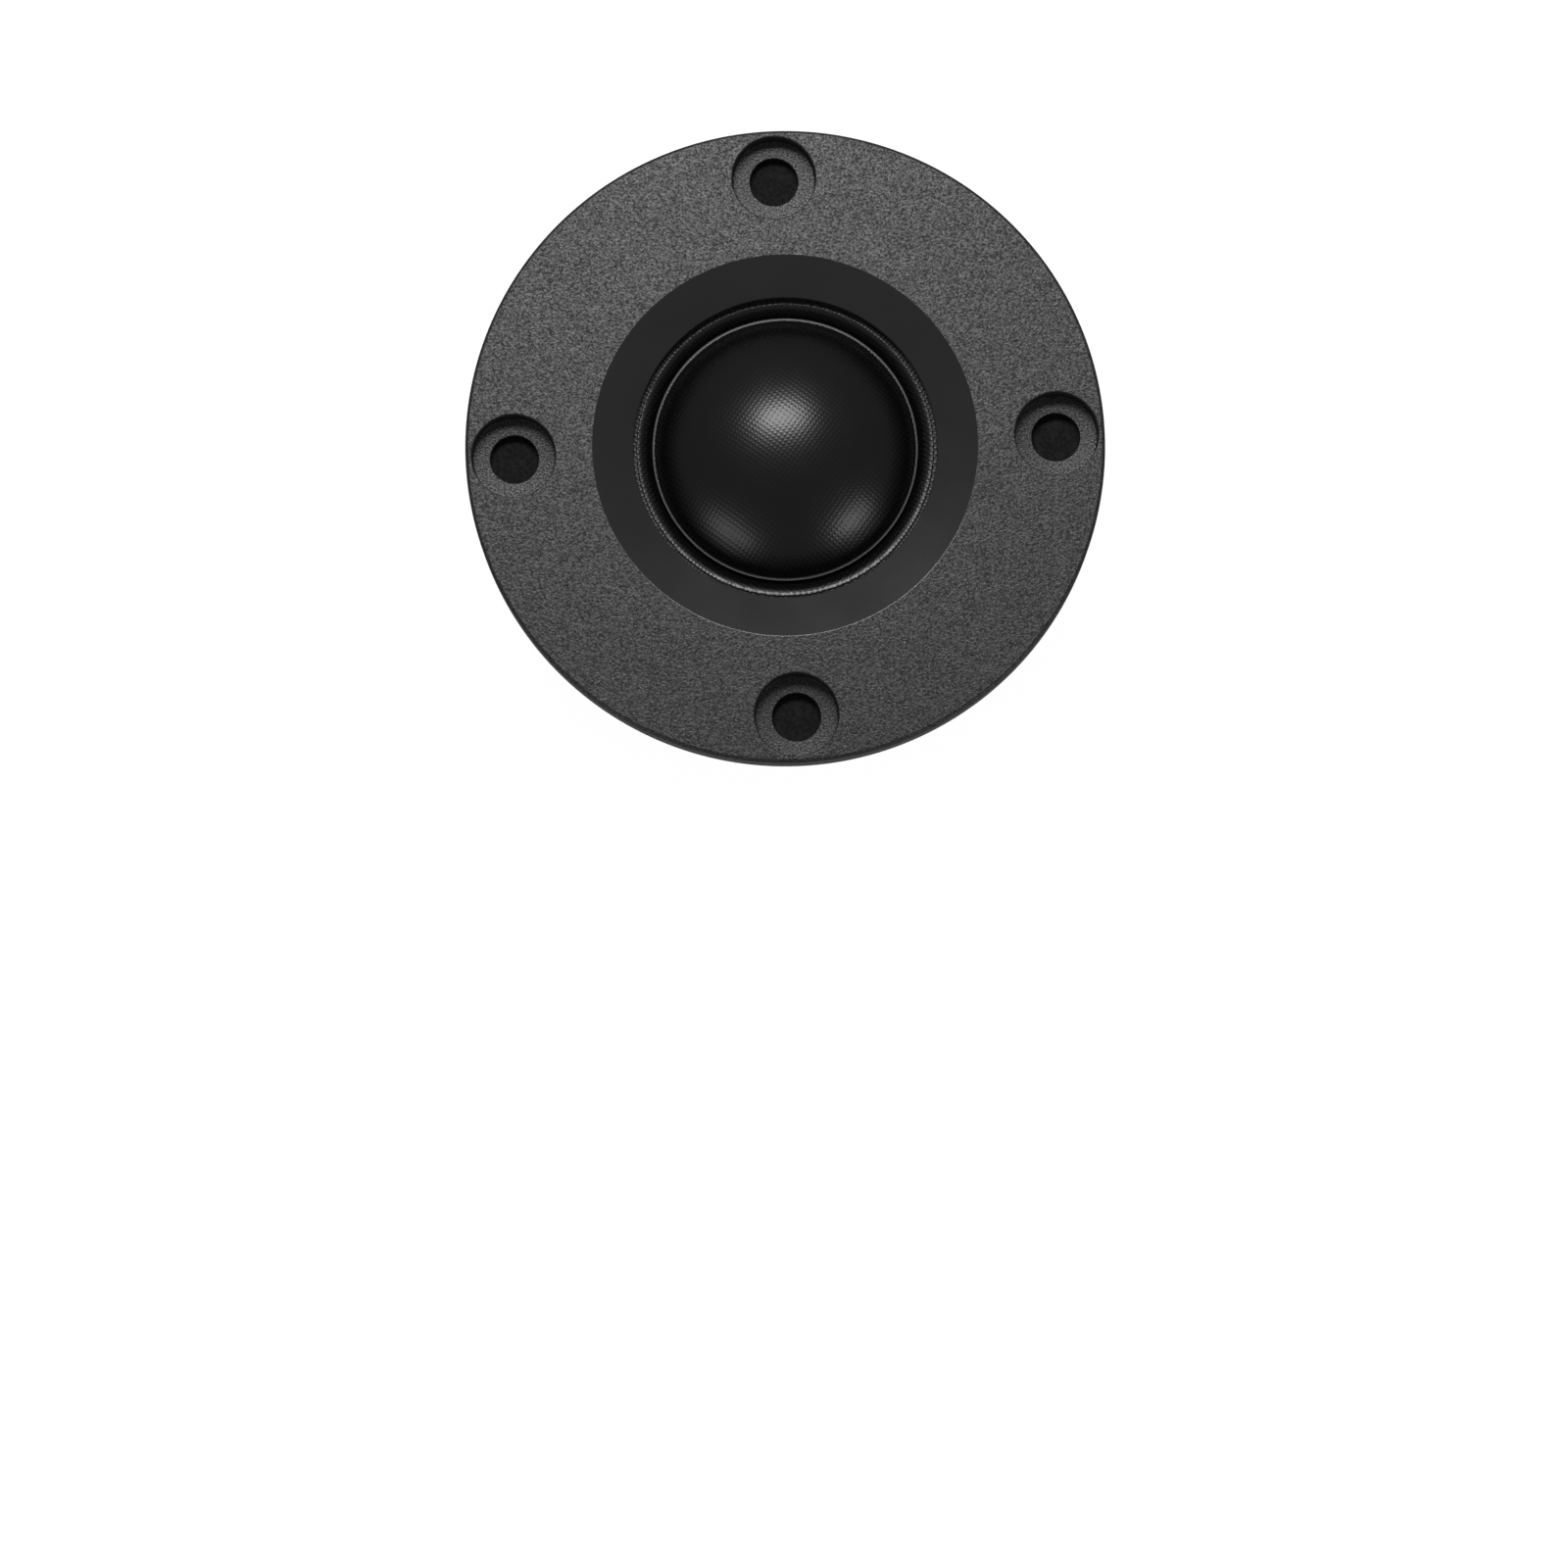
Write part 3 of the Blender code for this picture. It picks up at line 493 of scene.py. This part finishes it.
def rolled_metal(name, dark, light, roughness):
    """Metal stamped from rolled strip: fine scratches run along the strip."""
    made, tree, shader = new_material(name, Metallic=1.0)
    place = add_node(tree, "ShaderNodeTexCoord")
    drawn = add_node(tree, "ShaderNodeMapping", {"Scale": (1, 1, 0.04)}, {"Vector": place.outputs["Object"]})
    lines = add_node(tree, "ShaderNodeTexNoise", {"Scale": 1 / (0.12 * MM), "Detail": 3.0},
                     {"Vector": drawn.outputs["Vector"]})
    mottle = add_node(tree, "ShaderNodeTexNoise", {"Scale": 1 / (1.2 * MM), "Detail": 4.0},
                      {"Vector": place.outputs["Object"]})
    bump = add_node(tree, "ShaderNodeBump", {"Strength": 0.35, "Distance": 0.008 * MM},
                    {"Height": lines.outputs["Fac"]})
    gloss = add_node(tree, "ShaderNodeMapRange", {"To Min": roughness * 0.7, "To Max": roughness * 1.4},
                     {"Value": mottle.outputs["Fac"]})
    tint = add_node(tree, "ShaderNodeMix", {"A": linear(dark), "B": linear(light)},
                    {"Factor": mottle.outputs["Fac"]}, data_type="RGBA")
    feed(tree, shader, Base_Color=tint.outputs["Result"], Roughness=gloss.outputs["Result"],
         Normal=bump.outputs["Normal"])
    return made


def enamelled_copper():
    """Enamelled copper wire, wound turn on turn: each turn is a fine bright rib under clear enamel."""
    made, tree, shader = new_material("enamelled copper", Metallic=1.0, Roughness=0.3, Coat_Weight=0.6)
    place = add_node(tree, "ShaderNodeTexCoord")
    # The wire is 0.15 mm thick, and is drawn 0.22 mm thick so that its turns show.
    turns = add_node(tree, "ShaderNodeTexWave", {"Scale": 2 * math.pi / 20 / (0.22 * MM)},
                     {"Vector": place.outputs["Object"]}, bands_direction="Z")
    bump = add_node(tree, "ShaderNodeBump", {"Strength": 0.9, "Distance": 0.06 * MM},
                    {"Height": turns.outputs["Fac"]})
    tint = add_node(tree, "ShaderNodeMix", {"A": linear("#6e2f16"), "B": linear("#c9713a")},
                    {"Factor": turns.outputs["Fac"]}, data_type="RGBA")
    feed(tree, shader, Base_Color=tint.outputs["Result"], Normal=bump.outputs["Normal"])
    return made


def copper_braid():
    """Bare copper braid: fine strands cross each other along the lead."""
    made, tree, shader = new_material("copper braid", Metallic=1.0, Roughness=0.38)
    place = add_node(tree, "ShaderNodeTexCoord")
    laid = [add_node(tree, "ShaderNodeMapping", {"Rotation": (math.radians(turn), 0.4, 0)},
                     {"Vector": place.outputs["Object"]}) for turn in (35, -35)]
    # The strands are 0.1 mm across, and are drawn 0.16 mm across so that they show.
    crossed = [add_node(tree, "ShaderNodeTexWave", {"Scale": 2 * math.pi / 20 / (0.16 * MM)},
                        {"Vector": way.outputs["Vector"]}, bands_direction="DIAGONAL") for way in laid]
    strands = add_node(tree, "ShaderNodeMath", None,
                       {0: crossed[0].outputs["Fac"], 1: crossed[1].outputs["Fac"]}, operation="MULTIPLY")
    bump = add_node(tree, "ShaderNodeBump", {"Strength": 0.9, "Distance": 0.05 * MM},
                    {"Height": strands.outputs[0]})
    tint = add_node(tree, "ShaderNodeMix", {"A": linear("#7a4426"), "B": linear("#d98d5b")},
                    {"Factor": strands.outputs[0]}, data_type="RGBA")
    feed(tree, shader, Base_Color=tint.outputs["Result"], Normal=bump.outputs["Normal"])
    return made


def pressed_felt():
    """Grey wool felt: loose fibres lie every way and swallow the light."""
    made, tree, shader = new_material("pressed felt", Roughness=0.98, Sheen_Weight=0.3,
                                      Specular_IOR_Level=0.1)
    place = add_node(tree, "ShaderNodeTexCoord")
    fibres = add_node(tree, "ShaderNodeTexNoise", {"Scale": 1 / (0.3 * MM), "Detail": 5.0, "Roughness": 0.8,
                                                   "Distortion": 2.0}, {"Vector": place.outputs["Object"]})
    bump = add_node(tree, "ShaderNodeBump", {"Strength": 0.8, "Distance": 0.15 * MM},
                    {"Height": fibres.outputs["Fac"]})
    tint = add_node(tree, "ShaderNodeMix", {"A": linear("#5d5b57"), "B": linear("#918e87")},
                    {"Factor": fibres.outputs["Fac"]}, data_type="RGBA")
    feed(tree, shader, Base_Color=tint.outputs["Result"], Normal=bump.outputs["Normal"])
    return made


def phenolic_laminate():
    """Brown phenolic paper laminate, punched from sheet: a waxy face with faint paper fibres."""
    made, tree, shader = new_material("phenolic laminate", IOR=1.6)
    place = add_node(tree, "ShaderNodeTexCoord")
    drawn = add_node(tree, "ShaderNodeMapping", {"Scale": (0.25, 1, 1)}, {"Vector": place.outputs["Object"]})
    fibres = add_node(tree, "ShaderNodeTexNoise", {"Scale": 1 / (0.2 * MM), "Detail": 4.0, "Roughness": 0.7},
                      {"Vector": drawn.outputs["Vector"]})
    bump = add_node(tree, "ShaderNodeBump", {"Strength": 0.4, "Distance": 0.01 * MM},
                    {"Height": fibres.outputs["Fac"]})
    gloss = add_node(tree, "ShaderNodeMapRange", {"To Min": 0.32, "To Max": 0.5},
                     {"Value": fibres.outputs["Fac"]})
    tint = add_node(tree, "ShaderNodeMix", {"A": linear("#4b2512"), "B": linear("#7a4524")},
                    {"Factor": fibres.outputs["Fac"]}, data_type="RGBA")
    feed(tree, shader, Base_Color=tint.outputs["Result"], Roughness=gloss.outputs["Result"],
         Normal=bump.outputs["Normal"])
    return made


def red_paint():
    """Red enamel, dabbed on as the usual mark of the positive terminal."""
    made, tree, shader = new_material("red enamel paint", IOR=1.5, Roughness=0.3, Coat_Weight=0.3)
    place = add_node(tree, "ShaderNodeTexCoord")
    drift = add_node(tree, "ShaderNodeTexNoise", {"Scale": 1 / (0.5 * MM), "Detail": 2.0},
                     {"Vector": place.outputs["Object"]})
    tint = add_node(tree, "ShaderNodeMix", {"A": linear("#8f1512"), "B": linear("#b5221c")},
                    {"Factor": drift.outputs["Fac"]}, data_type="RGBA")
    feed(tree, shader, Base_Color=tint.outputs["Result"])
    return made


# Pieces ------------------------------------------------------------------------------------------------


def seat_hole():
    """What a screw hole takes out of the flange: a hole, a flat seat for the head and an eased rim."""
    ease = HOLE_EASE
    outline = filleted([
        (HOLE_RADIUS + ease, FLANGE_FOOT - MM, 0), (HOLE_RADIUS + ease, FLANGE_FOOT, 0),
        (HOLE_RADIUS, FLANGE_FOOT + ease, 0), (HOLE_RADIUS, SEAT_FLOOR, 0.1 * MM),
        (COUNTERBORE_RADIUS, SEAT_FLOOR, 0.15 * MM), (COUNTERBORE_RADIUS, FACE - ease, 0),
    ])
    outline += [(COUNTERBORE_RADIUS + ease * (1 - math.cos(a)), FACE - ease * (1 - math.sin(a)))
                for a in (math.radians(15 * i) for i in range(1, 7))]
    outline.append((COUNTERBORE_RADIUS + ease, FACE + MM))
    return turned("seat_hole", outline, 96, ends="filled")


def make_faceplate(grained, smooth):
    """The front moulding: a grained flange round a smooth cone, with the screw bosses behind."""
    piece = turned("faceplate_moulding", filleted([
        (LIP_RADIUS, LIP_FOOT, 0.05 * MM), (LIP_RADIUS, LIP_HEIGHT, LIP_ROUND),
        (RECESS_RADIUS, FACE, 0.3 * MM), (FLANGE_RADIUS, FACE, 0.4 * MM),
        (FLANGE_RADIUS, FLANGE_FOOT, 0.2 * MM), (REBATE_RADIUS, FLANGE_FOOT, 0.1 * MM),
        (REBATE_RADIUS, LIP_FOOT, 0),
    ]))
    boss = turned("boss", [(BOSS_RADIUS, BOSS_FOOT), (BOSS_RADIUS, FLANGE_FOOT + MM)], 48, ends="filled")
    combine_at(piece, boss, COLUMN_PLACES, "UNION")
    pilot = turned("pilot", [(PILOT_RADIUS, BOSS_FOOT - MM), (PILOT_RADIUS, BOSS_FOOT + PILOT_DEPTH)], 32,
                   ends="filled")
    combine_at(piece, pilot, COLUMN_PLACES)
    combine_at(piece, seat_hole(), HOLE_PLACES)
    dress(piece, "housing", [grained, smooth], "faceplate_plastic", "faceplate")
    for face in piece.data.polygons:
        reach = math.hypot(face.center.x, face.center.y)
        if reach < RECESS_RADIUS and face.center.z > LIP_FOOT:
            face.material_index = 1
    shade(piece)


def make_dome(silk, bare):
    """The silk cap, down to the narrow bare rim by which it is glued to the voice coil."""
    rise = DOME_TOP - JOINT
    radius = (DOME_RIM**2 + rise**2) / (2 * rise)
    centre = DOME_TOP - radius
    edge = math.asin((JOINT - centre) / radius)
    rows = 72
    angles = [edge + (math.pi / 2 - edge) * i / rows for i in range(rows + 1)]
    cap = [(radius * math.cos(a), centre + radius * math.sin(a)) for a in angles[:-1]] + [(0, DOME_TOP)]
    # Below the cap the silk bends outwards and ends in a flat rim on the coil.
    bend, lean = 0.2 * MM, math.pi / 2 - edge
    foot = [(DOME_RIM + bend * (math.sin(lean) - math.sin(a)),
             JOINT - bend * (math.cos(a) - math.cos(lean))) for a in (lean * i / 6 for i in range(6))]
    piece = turned("silk_dome", [(JOINT_RADIUS, foot[0][1])] + foot + cap, ends="open")
    finish_with(piece, "SOLIDIFY", thickness=SILK / 2, offset=1)
    dress(piece, "diaphragm", [silk, bare], "coated_silk", "dome")
    for face in piece.data.polygons:
        if math.hypot(face.center.x, face.center.y) > foot[0][0]:
            face.material_index = 1
    shade(piece)


def make_surround(silk):
    """The silk roll, which rises from the dome's rim to a crest at the lip, and its edge below."""
    rows, tuck, ease, clearance = 16, 0.05 * MM, 0.05 * MM, 0.15 * MM
    line = [(CROWN_RADIUS - ROLL_ROUND * math.sin(a), CROWN_HEIGHT - ROLL_ROUND * (1 - math.cos(a)))
            for a in (ROLL_SLOPE * (rows - i) / rows for i in range(rows + 1))]
    start = DOME_RIM + tuck
    line.insert(0, (start, line[0][1] - (line[0][0] - start) * math.tan(ROLL_SLOPE)))
    line += [(CROWN_RADIUS + ROLL_NOSE * math.sin(a), CROWN_HEIGHT - ROLL_NOSE * (1 - math.cos(a)))
             for a in (math.radians(15 * i) for i in range(1, 7))]
    top = LIP_FOOT - clearance
    line += [(CROWN_RADIUS + ROLL_NOSE, top + ease), (CROWN_RADIUS + ROLL_NOSE + ease, top),
             (CLAMP_RADIUS, top)]
    piece = turned("silk_surround", line[::-1], ends="open")
    finish_with(piece, "SOLIDIFY", thickness=SILK, offset=-1)
    shade(piece, 60)
    piece.data.materials.append(silk)
    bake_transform(piece, "diaphragm", "housing", start=(JOINT_RADIUS, 0, JOINT), end=(CROWN_RADIUS, 0, JOINT))
    # The roll bends evenly all round, so its share of the housing's rest grows with the radius.
    width = CROWN_RADIUS + ROLL_NOSE - JOINT_RADIUS
    for vert, share in zip(piece.data.vertices, piece.data.attributes["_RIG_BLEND"].data):
        t = min(max((math.hypot(vert.co.x, vert.co.y) - JOINT_RADIUS) / width, 0), 1)
        share.value = t * t * (3 - 2 * t)
    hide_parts("surround")


def make_gasket(foam):
    """The foam ring under the flange, scored crosswise from behind where each mounting screw goes in. Uncut in
    front, it closes the back of each screw hole so the holes read dark: partly a real gasket, partly painted
    shade.
    """
    inner, outer = HOUSING_RADIUS + GASKET_HOUSING_CLEARANCE, FLANGE_RADIUS - GASKET_SETBACK
    top = FLANGE_FOOT - 0.02 * MM
    # The ring runs uncut across the screw holes: a real gasket that also stands in for the shade inside each
    # hole, as painted shade.
    piece = turned("foam_gasket_and_hole_shade", filleted([
        (inner, GASKET_FOOT, 0.2 * MM), (outer, GASKET_FOOT, 0.2 * MM), (outer, top, 0), (inner, top, 0),
    ]))
    half_width, half_length, depth = 0.06 * MM, 2.3 * MM, 0.9 * MM
    for along in ((half_length, half_width), (half_width, half_length)):
        slit = box_piece("slit", (HOLE_CIRCLE - along[0], -along[1], GASKET_FOOT - MM),
                         (HOLE_CIRCLE + along[0], along[1], GASKET_FOOT + depth))
        combine_at(piece, slit, QUARTERS)
    dress(piece, "housing", [foam], "foam", "mounting_gasket")
    shade(piece)


def make_rear_cover(nylon):
    """The rear cup, with its terminal flat, its four columns and the screw wells in its back."""
    core, reach = 0.2 * HOUSING_RADIUS, 2 * HOUSING_RADIUS
    piece = turned("rear_cover", filleted([
        (core, 0, 0), (HOUSING_RADIUS, 0, 0.7 * MM), (HOUSING_RADIUS, HOUSING_TOP, 0.2 * MM),
        (core, HOUSING_TOP, 0),
    ]), ends="filled")
    combine(piece, box_piece("flat", (-reach, -reach, -MM), (reach, -FLAT, HOUSING_TOP + MM)))
    near = 0.01 * MM
    bevel_edges(piece, 0.4 * MM, 3, lambda a, b: max(a.z, b.z) < near and max(a.y, b.y) < near - FLAT)

    inner = HOUSING_RADIUS - HOUSING_WALL
    inside = turned("inside", filleted([
        (core, HOUSING_FLOOR, 0), (inner, HOUSING_FLOOR, 0.4 * MM), (inner, HOUSING_TOP + MM, 0),
        (core, HOUSING_TOP + MM, 0),
    ]), ends="filled")
    combine(inside, box_piece("flat_wall", (-reach, -reach, 0), (reach, HOUSING_WALL - FLAT, reach)))
    column = turned("column", [(COLUMN_RADIUS, 0), (COLUMN_RADIUS, COLUMN_TOP)], 64, ends="filled")
    combine_at(inside, column, COLUMN_PLACES)
    combine(piece, inside)

    # The pocket for the boss starts just above the column's top, so that the two cuts share no face.
    ease, pocket = 0.2 * MM, COLUMN_TOP + 0.02 * MM
    well = turned("well", [
        (WELL_RADIUS + ease, -MM), (WELL_RADIUS + ease, 0), (WELL_RADIUS + ease * 0.3, ease * 0.3),
        (WELL_RADIUS, ease), (WELL_RADIUS, WEB_FOOT), (SHANK_HOLE_RADIUS, WEB_FOOT),
        (SHANK_HOLE_RADIUS, pocket), (BOSS_RADIUS + BOSS_CLEARANCE, pocket),
        (BOSS_RADIUS + BOSS_CLEARANCE, HOUSING_TOP + MM),
    ], 64, ends="filled")
    combine_at(piece, well, COLUMN_PLACES)
    for across in BLADES.values():
        combine(piece, through_flat("rivet_hole", [(RIVET_HOLE_RADIUS, FLAT - 2 * HOUSING_WALL),
                                                   (RIVET_HOLE_RADIUS, FLAT + MM)], across, RIVET_HEIGHT))
    dress(piece, "housing", [nylon], "housing_plastic", "rear_housing")
    shade(piece)


def make_disc(node, name, fillet, materials, slot):
    """A plain round piece of the motor, as wide and as high as its node, with rounded edges."""
    low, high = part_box(node)
    core = high.x / 4
    piece = turned(name, filleted([
        (core, low.z, 0), (high.x, low.z, fillet), (high.x, high.z, fillet), (core, high.z, 0),
    ]), MOTOR_STEPS, ends="filled")
    dress(piece, "housing", materials, slot, node)
    shade(piece)


def make_tube(node, name, inner, fillet, body, materials, slot, notches=()):
    """A ring or tube, as wide and as high as its node, with rounded edges and notches for the leads."""
    low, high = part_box(node)
    piece = turned(name, filleted([
        (inner, low.z, fillet), (high.x, low.z, fillet), (high.x, high.z, fillet),
        (inner, high.z, fillet),
    ], 3), MOTOR_STEPS)
    for across in notches:
        combine(piece, box_piece("notch", (across - LEAD_NOTCH_WIDTH / 2, -FLAT, low.z - MM),
                                 (across + LEAD_NOTCH_WIDTH / 2, 0, low.z + LEAD_NOTCH_HEIGHT)))
    dress(piece, body, materials, slot, node)
    shade(piece)


def make_yoke(steel):
    """The steel cup that closes the magnet's field round the coil."""
    low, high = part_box("yoke_cup")
    core = high.x / 4
    piece = turned("yoke", filleted([
        (core, low.z, 0), (high.x, low.z, 0.5 * MM), (high.x, high.z, 0.2 * MM),
        (YOKE_BORE, high.z, 0.2 * MM), (YOKE_BORE, YOKE_FLOOR, 0.3 * MM), (core, YOKE_FLOOR, 0),
    ]), MOTOR_STEPS, ends="filled")
    dress(piece, "housing", [steel], "plated_steel", "yoke_cup")
    shade(piece)


def make_screws(steel):
    """Self-tapping screws with a domed head, a cross drive and a pointed shank."""
    low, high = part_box("housing_screw_1")
    head_top = WEB_FOOT - SCREW_HEAD_CLEARANCE
    shank, head = SHANK_RADIUS, SCREW_HEAD_RADIUS
    piece = turned("screw", filleted([
        (0.35 * MM, low.z, 0), (head * 0.72, low.z, 0.4 * MM), (head, low.z + 0.6 * MM, 0.3 * MM),
        (head, head_top, 0.08 * MM), (shank, head_top, 0.12 * MM), (shank, high.z - 1.1 * MM, 0.3 * MM),
        (0.12 * MM, high.z, 0),
    ]), 64, ends="filled")
    reach, half_width, depth = 0.75 * MM, 0.19 * MM, 0.8 * MM
    for turn in (0, math.pi / 2):
        drive = box_piece("drive", (-reach, -half_width, low.z - MM), (reach, half_width, low.z + depth))
        drive.data.transform(Matrix.Rotation(turn, 4, "Z"))
        combine(piece, drive)
    piece.data.transform(EIGHTH @ Matrix.Translation((COLUMN_CIRCLE, 0, 0)))
    for i, turn in enumerate(QUARTERS):
        made = copy_of(piece, f"screw_{i + 1}", turn)
        dress(made, "housing", [steel], "screw_steel", f"housing_screw_{i + 1}")
        shade(made)
    bpy.data.objects.remove(piece)


def make_terminals(laminate, tinned, paint):
    """The board, its two blades and the hollow rivets with rolled heads that hold them."""
    low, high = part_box("terminal_board")
    board = box_piece("terminal_board_sheet", low, high)
    bevel_edges(board, 0.8 * MM, 4, lambda a, b: abs(a.y - b.y) > MM)
    finish_with(board, "BEVEL", width=0.06 * MM, segments=2, limit_method="ANGLE",
                angle_limit=math.radians(40))
    for across in BLADES.values():
        combine(board, through_flat("hole", [(BOARD_HOLE_RADIUS, FLAT - MM),
                                             (BOARD_HOLE_RADIUS, FLAT + 3 * MM)], across, RIVET_HEIGHT))
    dress(board, "housing", [laminate], "laminate", "terminal_board")
    shade(board)

    bedded, crest, core, radius = -low.y - 0.02 * MM, -low.y + 0.04 * MM, 0.2 * MM, 0.7 * MM
    dot = through_flat("polarity_dot", filleted([
        (core, bedded, 0), (radius, bedded, 0), (radius, crest, 0.03 * MM), (core, crest, 0),
    ], 3), high.x - radius - 0.25 * MM, RIVET_HEIGHT)
    dress(dot, "housing", [paint], "laminate")
    shade(dot)

    for side, across in BLADES.items():
        low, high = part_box(f"terminal_tab_{side}")
        blade = box_piece(f"blade_{side}", low, high)
        tip = low.z + MM
        bevel_edges(blade, 0.6 * MM, 1, lambda a, b: abs(a.y - b.y) > 0.5 * MM and a.z < tip)
        finish_with(blade, "BEVEL", width=0.12 * MM, segments=3, limit_method="ANGLE",
                    angle_limit=math.radians(50))
        for radius, height in ((RIVET_HOLE_RADIUS, RIVET_HEIGHT), (DIMPLE_RADIUS, DIMPLE_HEIGHT)):
            hole = through_flat("hole", [(radius, -high.y - MM), (radius, -low.y + MM)], across, height)
            combine(blade, hole)
        dress(blade, "housing", [tinned], "terminal_brass", f"terminal_tab_{side}")
        shade(blade)

        low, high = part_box(f"terminal_rivet_{side}")
        inner, outer, rolled = -high.y, -low.y, 0.14 * MM
        outline = filleted([
            (RIVET_BORE, inner, rolled), (RIVET_HEAD_RADIUS, inner, rolled),
            (RIVET_HEAD_RADIUS, inner + RIVET_HEAD, rolled), (RIVET_SHANK_RADIUS, inner + RIVET_HEAD, 0),
            (RIVET_SHANK_RADIUS, outer - RIVET_HEAD, 0), (RIVET_HEAD_RADIUS, outer - RIVET_HEAD, rolled),
            (RIVET_HEAD_RADIUS, outer, rolled), (RIVET_BORE, outer, rolled),
        ], 4)
        rivet = through_flat(f"rivet_{side}", outline, across, RIVET_HEIGHT, ends="joined")
        dress(rivet, "housing", [tinned], "terminal_brass", f"terminal_rivet_{side}")
        shade(rivet)


def make_stage():
    """A plain pale floor, bright enough to read as white paper."""
    bpy.ops.object.select_all(action="DESELECT")
    bpy.ops.mesh.primitive_plane_add(size=6, location=(0, 0, -0.02 * MM))
    floor = bpy.context.object
    floor.name = "floor"
    paper = new_material("white paper", Base_Color=linear("#6c6c6c"), Roughness=1.0, Specular_IOR_Level=0.0,
                         Emission_Color=linear("#ffffff"), Emission_Strength=0.96)[0]
    floor.data.materials.append(paper)
    # The flange's side would mirror the white floor and turn too light.
    floor.visible_glossy = False


def add_light(name, direction, distance, width, height, power):
    """A soft panel lamp that looks at the face's centre from a direction."""
    lamp = bpy.data.lights.new(name, "AREA")
    lamp.shape = "RECTANGLE"
    lamp.size, lamp.size_y = width, height
    lamp.energy = power
    obj = bpy.data.objects.new(name, lamp)
    bpy.context.scene.collection.objects.link(obj)
    away = Vector(direction).normalized()
    obj.location = Vector((0, 0, FACE)) + away * distance
    obj.rotation_euler = away.to_track_quat("Z", "Y").to_euler()


def make_lights():
    """One soft lamp above the top edge, and two low ones at the lower corners."""
    world = bpy.data.worlds.new("studio")
    world.use_nodes = True
    world.node_tree.nodes["Background"].inputs["Color"].default_value = linear("#ffffff")
    world.node_tree.nodes["Background"].inputs["Strength"].default_value = 0.25
    bpy.context.scene.world = world
    add_light("key", (-0.04, 0.43, 0.9), distance=0.38, width=0.2, height=0.08, power=1.03)
    add_light("lower_left", (-0.605, -0.734, 0.22), distance=0.4, width=0.2, height=0.05, power=0.15)
    add_light("lower_right", (0.673, -0.673, 0.25), distance=0.4, width=0.16, height=0.05, power=0.2)
    bpy.context.scene.view_settings.view_transform = "Standard"


def make_camera():
    """A long lens nearly square to the face, tipped towards the bottom of the view and turned a little."""
    tilt, turn = math.radians(9.5), math.radians(2.4)
    view_width, below, left = 159.6 * MM, 34.25 * MM, 0.12 * MM
    data = bpy.data.cameras.new("camera")
    data.lens, data.sensor_width = 135, 36
    distance = view_width / 2 * data.lens / (data.sensor_width / 2)
    up = Vector((math.sin(turn), math.cos(turn), 0))
    axis_tilt = tilt - math.atan(below / distance)
    back = -up * math.sin(axis_tilt) + Vector((0, 0, 1)) * math.cos(axis_tilt)
    up = (up - back * up.dot(back)).normalized()
    camera = bpy.data.objects.new("camera", data)
    bpy.context.scene.collection.objects.link(camera)
    place = Matrix((up.cross(back), up, back)).transposed().to_4x4()
    face_middle = Vector((0, 0, FACE - FLANGE_THICKNESS / 2))
    place.translation = face_middle - up * below - up.cross(back) * left + back * distance
    camera.matrix_world = place
    bpy.context.scene.camera = camera


def paint_node(name, material):
    """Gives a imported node, whose shape is right as it is, its finish."""
    node = frame["nodes"][name]
    node.data.materials.clear()
    node.data.materials.append(material)


def main():
    make_camera()
    make_stage()
    make_lights()
    grained, smooth, silk = grained_abs(), smooth_abs(), coated_silk()
    foam, nylon = closed_cell_foam(), glass_filled_nylon()
    steel = turned_metal("zinc-plated steel", "#8f9089", "#c3c4bd", 0.32, 0.25 * MM)
    nickel = turned_metal("bright nickel", "#a19c92", "#d8d3c8", 0.14, 0.5 * MM)
    black_oxide = turned_metal("black oxide steel", "#17181a", "#2d2e31", 0.42, 0.3 * MM)
    tinned = rolled_metal("tinned brass", "#9d9a8c", "#d2d0c4", 0.26)
    foil = rolled_metal("aluminium foil", "#a9abad", "#dcdee0", 0.3)
    copper, braid, felt = enamelled_copper(), copper_braid(), pressed_felt()

    make_faceplate(grained, smooth)
    make_dome(silk, bare_silk())
    make_surround(silk)
    make_gasket(foam)
    make_rear_cover(nylon)
    make_screws(black_oxide)
    make_terminals(phenolic_laminate(), tinned, red_paint())
    make_disc("pole_plate", "pole", 0.25 * MM, [steel], "plated_steel")
    make_disc("magnet", "magnet_disc", 0.35 * MM, [nickel], "nickel_plating")
    make_disc("yoke_pad", "foam_pad", 0.15 * MM, [foam], "foam")
    make_disc("felt_damper", "felt_disc", 0.2 * MM, [felt], "felt")
    make_yoke(steel)
    make_tube("diaphragm_ring", "carrier_ring", RING_BORE, 0.1 * MM, "housing", [nylon], "housing_plastic",
              notches=BLADES.values())
    make_tube("voice_coil_former", "former", FORMER_BORE, 0.02 * MM, "diaphragm", [foil], "aluminium_foil")
    make_tube("voice_coil_winding", "winding", WINDING_BORE, 0.08 * MM, "diaphragm", [copper], "copper_wire")
    for side in ("positive", "negative"):
        paint_node(f"lead_wire_{side}", braid)


main()
